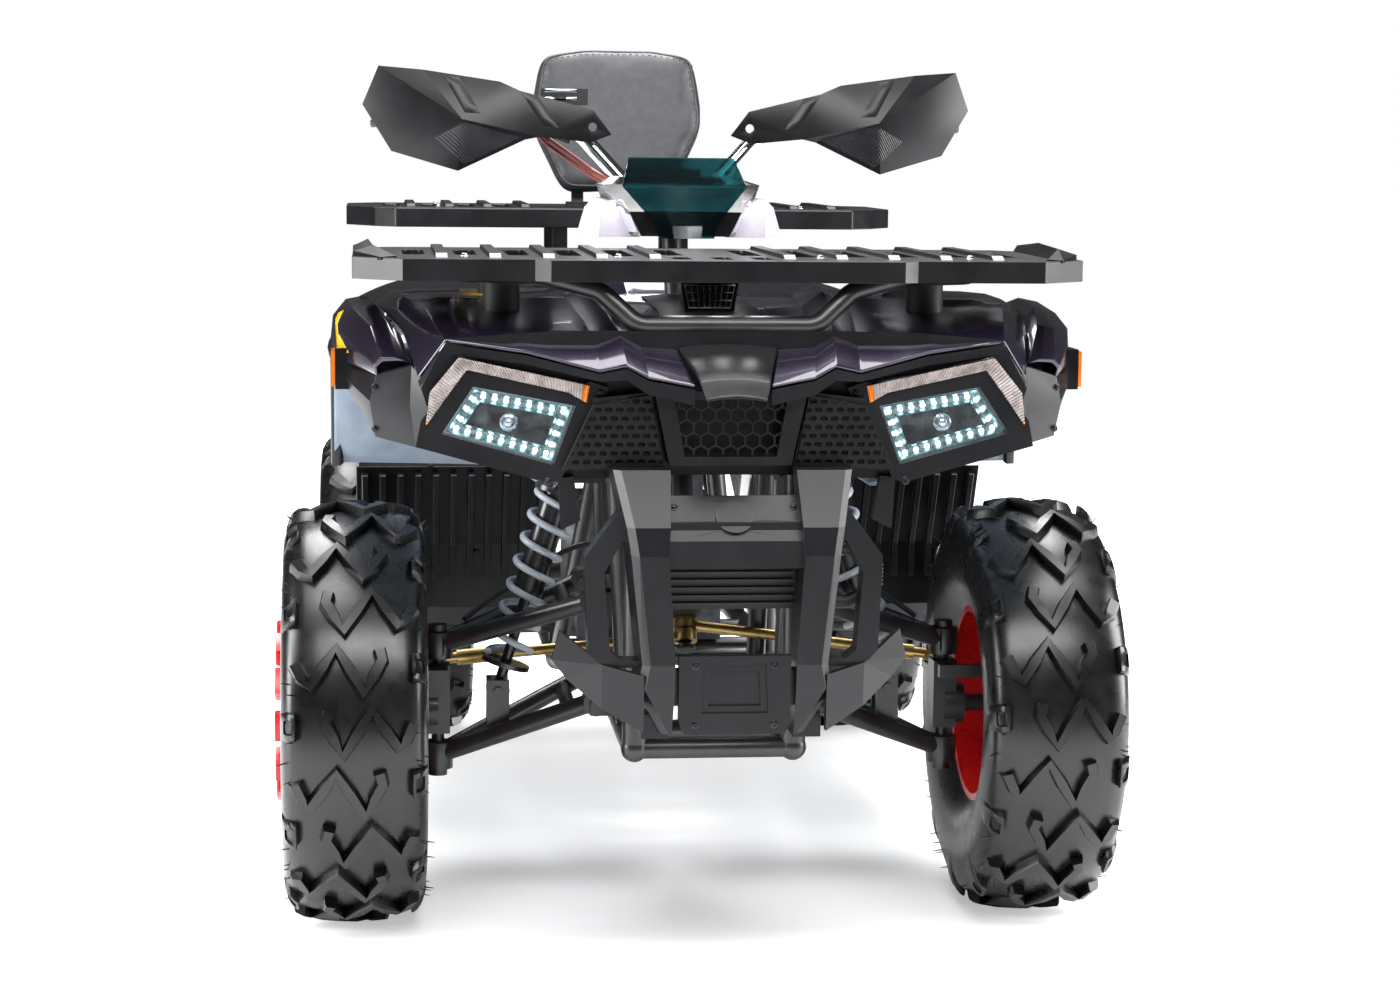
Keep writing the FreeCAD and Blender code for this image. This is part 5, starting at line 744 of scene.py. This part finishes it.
# welts and stitches laid on the padded pieces
backSeam = {"outline": [(-97, 900), (-152, 1018), (-134, 1140), (-56, 1152), (56, 1152), (134, 1140),
                        (152, 1018), (97, 900)],
            "band": 15.0, "welt": 0.0021, "stitchGap": 4.2, "steps": 160, "rounds": 10}
seatSeam = {"from": 0.36, "to": 1.13, "drop": 0.030, "welt": 0.0024, "steps": 90, "stitchDrop": 0.006}
weltLift = 0.0004
stitchShape = {"line": ((-2.0, -0.3), (-1.2, 0.35), (1.2, 0.35), (2.0, -0.3)), "radius": 0.00045}


def seamTurn(facing, way):
    # each stitch turns to the face it lies on and runs along the seam
    up = facing.normalized()
    ahead = (way - up * way.dot(up)).normalized()
    return Matrix((ahead.cross(up), ahead, up)).transposed().to_euler()


def addSeams():
    welts = bmesh.new()
    stitches = []
    for shift in (0, -backSeam["stitchGap"], backSeam["stitchGap"]):
        loop = inset(backSeam["outline"], backSeam["band"] + shift)
        loop = [Vector(along(loop + loop[:1], i / backSeam["steps"])) for i in range(backSeam["steps"])]
        loop = smoothLine(loop, True, backSeam["rounds"])
        hits = [castOn(backPad, millis(x, 900, z), (0, 1, 0)) for x, z in loop]
        hits = [(place, facing) for place, facing in hits if place is not None]
        if shift == 0:
            tubeAlong(welts, [place + facing * weltLift for place, facing in hits], backSeam["welt"],
                      closed=True)
        else:
            for (place, facing), (ahead, _) in zip(hits[::2], (hits[1:] + hits[:1])[::2]):
                stitches.append((place, seamTurn(facing, ahead - place), 1.0))
    for side in (1, -1):
        rows = []
        for i in range(seatSeam["steps"] + 1):
            y = -0.5 + seatSeam["from"] + (seatSeam["to"] - seatSeam["from"]) * i / seatSeam["steps"]
            top, _ = castOn(saddle, (0, y, 1.3), (0, 0, -1))
            if top is not None:
                flank = castOn(saddle, (side * 0.6, y, top.z - seatSeam["drop"]), (-side, 0, 0))
                if flank[0] is not None:
                    rows.append(flank)
        if len(rows) > 4:
            tubeAlong(welts, smoothLine([place + facing * weltLift for place, facing in rows], False),
                      seatSeam["welt"])
            for (place, facing), (ahead, _) in zip(rows[1:-1], rows[2:]):
                stitches.append((place - Vector((0, 0, seatSeam["stitchDrop"])),
                                 seamTurn(facing, ahead - place), 1.0))
    pieceFrom("padWelts", welts, finish["seat_vinyl"], "chassis", 60)
    unit = bmesh.new()
    line = [Vector((0, y / 1000, z / 1000)) for y, z in stitchShape["line"]]
    tubeAlong(unit, line, stitchShape["radius"], 6)
    scatter("seamStitches", unit, stitches, extraFinish["stitch"], jitter=0.05, seed=3,
            creaseDeg=40)
    print("stitches sewn:", len(stitches))


addSeams()

# headlamps: ribbed strip lens with amber ends, a silver ring with a painted glow and small lamps, fluted
# reflector and bulb shade
lampSettings = {
    "glass": [(176, 685), (293, 707), (329, 653), (201, 617)],
    "stripTop": [(160, 709), (310, 741), (343, 701), (347, 662)],
    "stripLow": [(164, 688), (184, 700), (300, 726), (347, 662)], "stripInset": 0.04,
    "stripFront": -355.2, "ribDepth": 1.8, "stripBack": -353.8, "columns": 132,
    "amberShare": 0.028, "amberEnd": 0.99,
    # rows of inset and depth
    "ringSection": ((3.5, -342.5), (7.5, -337.0), (14.0, -337.0), (17.0, -340.5), (17.4, -333.0),
                    (3.5, -333.0)),
    "lampCount": 23, "lampInset": 10.0, "lampDepth": -337.0,
    "lampProfile": ((3.1, -0.4, 1), (3.1, 0.8, 1), (2.48, 1.8, 1), (1.24, 2.4, 1)),
    "fluteInset": 17.0, "fluteFront": -336.0, "fluteBack": -333.0, "fluteDepth": 1.6, "fluteGap": 0.6,
    "flutes": 34,
    # rows of radius and depth
    "bulb": (252, 665), "shade": ((10.5, -333.5), (10.5, -339.0), (9.0, -340.0), (6.4, -338.0), (5.6, -341.5),
                                  (3.4, -343.4), (0.8, -344.2)),
}


def fluted(columns, front, back, depth):
    # a solid of upright columns (top, low), each a place (x, z), with every second one set off by a depth
    rows = []
    for i, ((ax, az), (bx, bz)) in enumerate(columns):
        y = front + (depth if i % 2 else 0)
        rows.append([millis(ax, y, az), millis(bx, y, bz), millis(bx, back, bz), millis(ax, back, az)])
    return solidFrom(rows)


def stripRibs(s, first, last):
    steps = max(2, int(s["columns"] * (last - first)))
    columns = []
    for i in range(steps + 1):
        share = first + (last - first) * i / steps
        top, low = Vector(along(s["stripTop"], share)), Vector(along(s["stripLow"], share))
        columns.append((top.lerp(low, s["stripInset"]), low.lerp(top, s["stripInset"])))
    return fluted(columns, s["stripFront"], s["stripBack"], -s["ribDepth"])


def addLamps(s):
    pairFrom("stripLampRibs", stripRibs(s, s["amberShare"], 1 - s["amberShare"]), extraFinish["ribbedLens"],
             20)
    amber = stripRibs(s, 0.0, s["amberShare"])
    joinInto(amber, stripRibs(s, 1 - s["amberShare"], s["amberEnd"]))
    pairFrom("stripLampAmber", amber, finish["amber_lens"], 20)
    band = [[millis(x, y, z) for x, z in inset(s["glass"], gap)] for gap, y in s["ringSection"]]
    # the silver ring carries a painted glow in its finish
    pairFrom("lampRings", solidFrom(band, looped=True), extraFinish["ringPaintedGlow"], 20)
    line = inset(s["glass"], s["lampInset"])
    spots = [along(line + line[:1], i / s["lampCount"]) for i in range(s["lampCount"])]
    places = [(millis(side * x, s["lampDepth"], z), turnTo((0, -1, 0)), 1.0)
              for side in (1, -1) for x, z in spots]
    made = scatter("ringLamps", lathe(s["lampProfile"], 10), places, finish["led_white"])
    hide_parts("headlamp_leds")
    inner = inset(s["glass"], s["fluteInset"])
    low, high = min(x for x, _ in inner) + s["fluteGap"], max(x for x, _ in inner) - s["fluteGap"]
    columns = []
    for i in range(2 * s["flutes"] + 1):
        x = low + (high - low) * i / (2 * s["flutes"])
        cuts = [az + (bz - az) * (x - ax) / (bx - ax)
                for (ax, az), (bx, bz) in zip(inner, inner[1:] + inner[:1])
                if min(ax, bx) <= x <= max(ax, bx) and ax != bx]
        columns.append(((x, max(cuts)), (x, min(cuts))))
    pairFrom("lampFlutes", fluted(columns, s["fluteFront"], s["fluteBack"], s["fluteDepth"]),
             extraFinish["smokedChrome"], 20)
    shade = [[millis(s["bulb"][0] + x, y, s["bulb"][1] + z) for x, z in circle(radius, 20)]
             for radius, y in s["shade"]]
    pairFrom("bulbShades", solidFrom(shade), finish["lamp_reflector"], 30)


# moulded plates with staggered oval holes beside the grille, with a black sheet behind them as painted shade
meshSettings = {
    "outline": [(91, 699), (157, 687), (192, 612), (77, 618)],
    "pitch": (12.5, 10.0), "hole": (4.4, 2.9), "holeCorner": 0.8, "front": -369.4, "thick": 2.6,
    "shadow": ((0.2, -338.4), (0.2, -365.2), (1.0, -365.9)),        # inset, depth
}
compass = ((1, 0), (1, 1), (0, 1), (-1, 1), (-1, 0), (-1, -1), (0, -1), (1, -1))


def cutToOutline(bm, outline):
    centre = Vector((sum(x for x, _ in outline) / len(outline), sum(z for _, z in outline) / len(outline)))
    for a, b in zip(outline, outline[1:] + outline[:1]):
        way = Vector((b[0] - a[0], b[1] - a[1])).normalized()
        out = Vector((way.y, -way.x))
        if out.dot(Vector(a) - centre) < 0:
            out = -out
        bmesh.ops.bisect_plane(bm, geom=bm.verts[:] + bm.edges[:] + bm.faces[:], plane_co=(a[0], 0, a[1]),
                               plane_no=(out.x, 0, out.y), clear_outer=True)


def addHoledPlates(s):
    bm = bmesh.new()
    (px, pz), (hx, hz) = s["pitch"], s["hole"]
    cell = []
    for wide, tall, corner in ((px / 2, pz / 2, 1.0), (hx, hz, s["holeCorner"])):
        cell.append([(u * wide * k, v * tall * k) for u, v in compass for k in (corner if u and v else 1.0,)])
    xs, zs = zip(*s["outline"])
    row, z = 0, min(zs) - pz
    while z < max(zs) + pz:
        x = min(xs) - px * (1.5 if row % 2 else 1.0)
        while x < max(xs) + px:
            skinRings(bm, [[(x + a, 0, z + b) for a, b in loop] for loop in cell], capped=False)
            x += px
        row, z = row + 1, z + pz
    bmesh.ops.remove_doubles(bm, verts=bm.verts, dist=0.01)
    cutToOutline(bm, s["outline"])
    made = bmesh.ops.extrude_face_region(bm, geom=bm.faces[:])
    for v in made["geom"]:
        if isinstance(v, bmesh.types.BMVert):
            v.co.y += s["thick"]
    for v in bm.verts:
        v.co = millis(v.co.x, v.co.y + s["front"], v.co.z)
    pairFrom("holedPlates", bm, finish["textured_black"], 30)
    # a black sheet behind the plates, so that the holes show painted shade
    back = [[millis(x, y, z) for x, z in inset(s["outline"], gap)] for gap, y in s["shadow"]]
    pairFrom("holedPlateShadow", solidFrom(back), extraFinish["paintedShadeBlack"], 30)


# thin panels that follow a face of the quad bike: bands, fins and stripes
def overlay(name, nodeName, quads, aim, lift, grid, material, body, mirrored=True, far=2.0):
    bm = bmesh.new()
    across, down = grid
    done = 0
    for side in (1, -1) if mirrored else (1,):
        way = Vector((aim[0] * side, aim[1], aim[2])).normalized()
        for a, b, c, d in quads:
            hits = []
            for j in range(down + 1):
                for i in range(across + 1):
                    u, v = i / across, j / down
                    start = (a * (1 - u) + b * u) * (1 - v) + (d * (1 - u) + c * u) * v
                    start.x *= side
                    place, facing = castOn(node[nodeName], start - way * far, way)
                    if place is not None:
                        rise = lift * (0.35 if i in (0, across) or j in (0, down) else 1.0)
                        hits.append(((j, i), place + facing * rise, place - facing * 0.0006))
            if len(hits) < (across + 1) * (down + 1):
                continue
            done += 1
            fronts, backs = {}, {}
            for key, front, back in hits:
                fronts[key], backs[key] = bm.verts.new(front), bm.verts.new(back)
            for j in range(down):
                for i in range(across):
                    cell = ((j, i), (j, i + 1), (j + 1, i + 1), (j + 1, i))
                    bm.faces.new([fronts[k] for k in cell])
                    bm.faces.new([backs[cell[k]] for k in (0, 3, 2, 1)])
            loop = ([(0, i) for i in range(across + 1)] + [(j, across) for j in range(1, down + 1)]
                    + [(down, i) for i in range(across - 1, -1, -1)] + [(j, 0) for j in range(down - 1, 0, -1)])
            for k, m in zip(loop, loop[1:] + loop[:1]):
                bm.faces.new((fronts[k], backs[k], backs[m], fronts[m]))
    print(name, "patches laid:", done, "of", len(quads) * (2 if mirrored else 1))
    pieceFrom(name, bm, material, body, 40)


def flat(*points):
    return [millis(x, 0, z) for x, z in points]


addLamps(lampSettings)
addHoledPlates(meshSettings)
overlay("guardBands", "hand_guards",
        [flat((310, 1074), (289, 1071), (261, 1023), (282, 1024)),
         flat((205, 1051), (183, 1048), (155, 1004), (176, 1009))],
        (0, 1, 0), 0.0022, (4, 8), finish["textured_black"], "steering")
overlay("guardWeave", "hand_guards", [flat((282, 1011), (322, 990), (283, 954), (206, 991))],
        (0, 1, 0), 0.0010, (8, 8), extraFinish["weave"], "steering")
overlay("podCheeks", "instrument_pod", [flat((80, 910), (100, 910), (85, 869), (62, 869))],
        (0, 1, 0), 0.0014, (4, 4), finish["lilac_gloss"], "steering")
overlay("reservoirTrim", "brake_controls", [flat((-173, 1057), (-129, 1057), (-129, 1052.5), (-173, 1052.5)),
                                            flat((-173, 1046), (-129, 1046), (-129, 1042), (-173, 1042))],
        (0, 1, 0), 0.0012, (6, 2), finish["bar_chrome"], "steering", mirrored=False)
print("lamps, plates and guard panels made")

# screws: a flanged hexagon with a dimple, set into the faces they hold
screwPlaces = {
    "front_bumper": [(68, 601), (-68, 601), (68, 575), (-68, 575), (45, 330), (-45, 330),
                     (45, 398), (-45, 398)],
    "fascia": [(148, 700), (-148, 700), (208, 598), (-208, 598), (356, 690), (-356, 690),
               (103, 606), (-103, 606)],
    "footwells": [(200, 545), (-200, 545), (330, 545), (-330, 545), (265, 420), (-265, 420)],
    "fender_flares": [(404, 700), (-404, 700), (404, 650), (-404, 650)],
}
rackScrewPlaces = {
    "front_rack": [(300, -60), (-300, -60), (300, -250), (-300, -250), (120, -250), (-120, -250)],
    "rear_rack": [(300, 1150), (-300, 1150), (300, 1380), (-300, 1380)],
}
# radius, height, share for every second corner
screwProfile = ((5.2, -0.6, 1), (5.2, 0.5, 1), (4.6, 0.9, 1), (3.5, 1.0, 0.89), (3.3, 3.2, 0.89),
                (2.7, 3.8, 0.89), (1.6, 3.8, 1), (1.2, 2.8, 1))
screwScale = 0.9


def addScrews(name, starts, aim, least, size, material):
    # each start is a node and a place to cast from; a face that looks away by more than least gets no screw
    places = []
    for nodeName, start in starts:
        place, facing = castOn(node[nodeName], start, aim)
        if place is not None and -facing.dot(Vector(aim)) > least:
            places.append((place, turnTo(facing), size))
    unit = lathe([(r * screwScale, h * screwScale, dent) for r, h, dent in screwProfile], 12)
    scatter(name, unit, places, extraFinish[material], jitter=1.0)
    print(name, "set:", len(places))


addScrews("bodyScrews", [(name, millis(x, -1500, z)) for name, rows in screwPlaces.items() for x, z in rows],
          (0, 1, 0), 0.0, 1.0, "boltHead")
addScrews("rackScrews",
          [(name, millis(x, y, 1500)) for name, rows in rackScrewPlaces.items() for x, y in rows],
          (0, 0, -1), 0.9, 1.15, "zincScrew")

# plain yellow film on the fender
overlay("yellowStripes", "hood_panels", [
    [Vector((-0.5, y, z)) for y, z in ((-0.560, 0.786), (-0.535, 0.780), (-0.655, 0.738), (-0.690, 0.744))]],
    (1, 0, -0.15), 0.0005, (3, 12), extraFinish["yellow"], "chassis", mirrored=False, far=0.3)
overlay("yellowPatch", "hood_panels", [
    [Vector((x, y, 0.8)) for x, y in ((-0.305, -0.57), (-0.270, -0.57), (-0.262, -0.46), (-0.297, -0.46))]],
    (0, 0, -1), 0.0005, (3, 6), extraFinish["yellow"], "chassis", mirrored=False, far=0.4)

# corrugated sleeve on the cooler hose
sleeveSettings = {"line": ((150, -375, 520), (170, -375, 503), (170, -375, 481), (150, -375, 464)),
                  "pitch": 4.2, "rib": ((7.68, -1.5, 1), (9.4, -0.9, 1), (9.4, 0.9, 1), (7.68, 1.5, 1))}


def addSleeve(s):
    line = s["line"]
    count = int(sum(math.dist(a, b) for a, b in zip(line, line[1:])) / s["pitch"])
    places = []
    for i in range(count + 1):
        here, ahead = along(line, i / count * 0.998), along(line, min(1.0, i / count * 0.998 + 0.002))
        places.append((millis(*here), turnTo(Vector(ahead) - Vector(here)), 1.0))
    scatter("hoseSleeve", lathe(s["rib"], 14), places, finish["hose_rubber"])


addSleeve(sleeveSettings)
print("trim made")


# the air intake under the rack: a dark box on the hood with a silver wire grid in its mouth
gridSettings = {"y": -150.0, "half": 30.0, "topHalf": 36.0, "high": 819.0, "depth": 40.0, "across": 9, "down": 4,
                "wire": 0.0008}


def addIntake(s):
    base = castOn(node["hood_centre"], millis(0, s["y"], 1500), (0, 0, -1))[0].z * 1000 - 2
    rows = []
    for gap, y in ((0, s["y"] + s["depth"]), (0, s["y"]), (2.5, s["y"] - 1.0), (4.0, s["y"] + 5.0)):
        half, topHalf, low, high = s["half"] - gap, s["topHalf"] - gap, base + gap, s["high"] - gap
        rows.append([millis(x, y, z)
                     for x, z in ((-half, low), (half, low), (topHalf, high), (-topHalf, high))])
    pieceFrom("intakeBox", solidFrom(rows), finish["textured_black"], "chassis", 30)
    wires = bmesh.new()
    low, high, half, topHalf = base + 4, s["high"] - 4, s["half"] - 5, s["topHalf"] - 5
    for i in range(s["across"]):
        u = i / (s["across"] - 1) * 2 - 1
        y = s["y"] + 0.5
        tubeAlong(wires, [millis(u * half, y, low), millis(u * topHalf, y, high)], s["wire"], 6)
    for j in range(s["down"]):
        v = j / (s["down"] - 1)
        reach, y, z = half * (1 - v) + topHalf * v, s["y"] - 0.8, low + 1 + (high - low - 2) * v
        tubeAlong(wires, [millis(-reach, y, z), millis(reach, y, z)], s["wire"], 6)
    pieceFrom("intakeGrid", wires, extraFinish["zincScrew"], "chassis", 60)


addIntake(gridSettings)

# studio: pale floor, white all round for the camera, soft light from above and both sides
studio = {
    "floorHalf": 9.0, "worldStrength": 0.5, "mirrorStrength": 0.05,
    "glowFrom": 0.2, "glowTo": 1.5, "glowLeast": 0.2,
    # place, aim, size, power
    "topSoftbox": ((0.0, -1.0, 3.5), (0, -0.2, 0.5), (3.4, 1.4), 140.0),
    "backSoftbox": ((0.0, 1.3, 3.4), (0, 0.2, 0.5), (3.0, 2.0), 260.0),
    "frontSoftbox": ((0.0, -2.5, 2.35), (0, -0.2, 0.95), (2.6, 0.8), 75.0),
    "leftSoftbox": ((-3.0, -0.9, 1.3), (0, -0.2, 0.5), (1.2, 2.2), 125.0),
    "rightSoftbox": ((3.0, -0.9, 1.3), (0, -0.2, 0.5), (1.2, 2.2), 125.0),
}


def addFloor(s):
    mesh = bpy.data.meshes.new("floor")
    h = s["floorHalf"]
    mesh.from_pydata([(-h, -h, 0), (h, -h, 0), (h, h, 0), (-h, h, 0)], [], [(0, 1, 2, 3)])
    mat = makeFinish("paleStudioFloor", {}, tones=("eceef0", "f3f4f6"), stainMm=900.0, rough=(0.5, 0.62),
                     grainMm=30.0, bump=0.02)
    # away from the quad bike the paper turns to plain white for the camera, as a lit studio sweep does
    tree = mat.node_tree
    where = addNode(tree, "ShaderNodeTexCoord").outputs["Object"]
    away = addNode(tree, "ShaderNodeVectorMath", {"operation": "LENGTH"}, {0: where})
    fade = addNode(tree, "ShaderNodeMapRange", {"interpolation_type": "SMOOTHSTEP", "From Min": s["glowFrom"],
                                                "From Max": s["glowTo"], "To Min": s["glowLeast"]},
                   {"Value": away.outputs["Value"]})
    path = addNode(tree, "ShaderNodeLightPath")
    seen = addNode(tree, "ShaderNodeMath", {"operation": "MULTIPLY"},
                   {0: path.outputs["Is Camera Ray"], 1: fade.outputs[0]})
    shader = next(n for n in tree.nodes if n.type == "BSDF_PRINCIPLED")
    shader.inputs["Emission Color"].default_value = (1, 1, 1, 1)
    tree.links.new(seen.outputs[0], shader.inputs["Emission Strength"])
    linkThing("floor", mesh, mat)


def addWorld(s):
    world = bpy.data.worlds.new("studioWorld")
    bpy.context.scene.world = world
    world.use_nodes = True
    tree = world.node_tree
    tree.nodes.clear()
    path = addNode(tree, "ShaderNodeLightPath")
    seen = addNode(tree, "ShaderNodeMath", {"operation": "MAXIMUM"},
                   {0: path.outputs["Is Camera Ray"], 1: path.outputs["Is Transmission Ray"]})
    # paint and metal mirror a dim room, so that the softboxes stand out in them
    dim = addNode(tree, "ShaderNodeMapRange", {"To Min": s["worldStrength"], "To Max": s["mirrorStrength"]},
                  {"Value": path.outputs["Is Glossy Ray"]})
    strength = addNode(tree, "ShaderNodeMapRange", {"To Max": 1.0},
                       {"Value": seen.outputs[0], "To Min": dim.outputs[0]})
    back = addNode(tree, "ShaderNodeBackground", {"Color": (1, 1, 1, 1)}, {"Strength": strength.outputs[0]})
    addNode(tree, "ShaderNodeOutputWorld", links={0: back.outputs[0]})


def addSoftbox(name, place, aim, size, power):
    data = bpy.data.lights.new(name, "AREA")
    data.shape, data.size, data.size_y = "RECTANGLE", size[0], size[1]
    data.energy = power
    lamp = bpy.data.objects.new(name, data)
    lamp.location = place
    lamp.rotation_euler = (Vector(aim) - Vector(place)).to_track_quat("-Z", "Y").to_euler()
    bpy.context.scene.collection.objects.link(lamp)


addFloor(studio)
addWorld(studio)
for name in ("topSoftbox", "backSoftbox", "frontSoftbox", "leftSoftbox", "rightSoftbox"):
    addSoftbox(name, *studio[name])
bpy.context.scene.view_settings.view_transform = "Standard"
print("studio set")
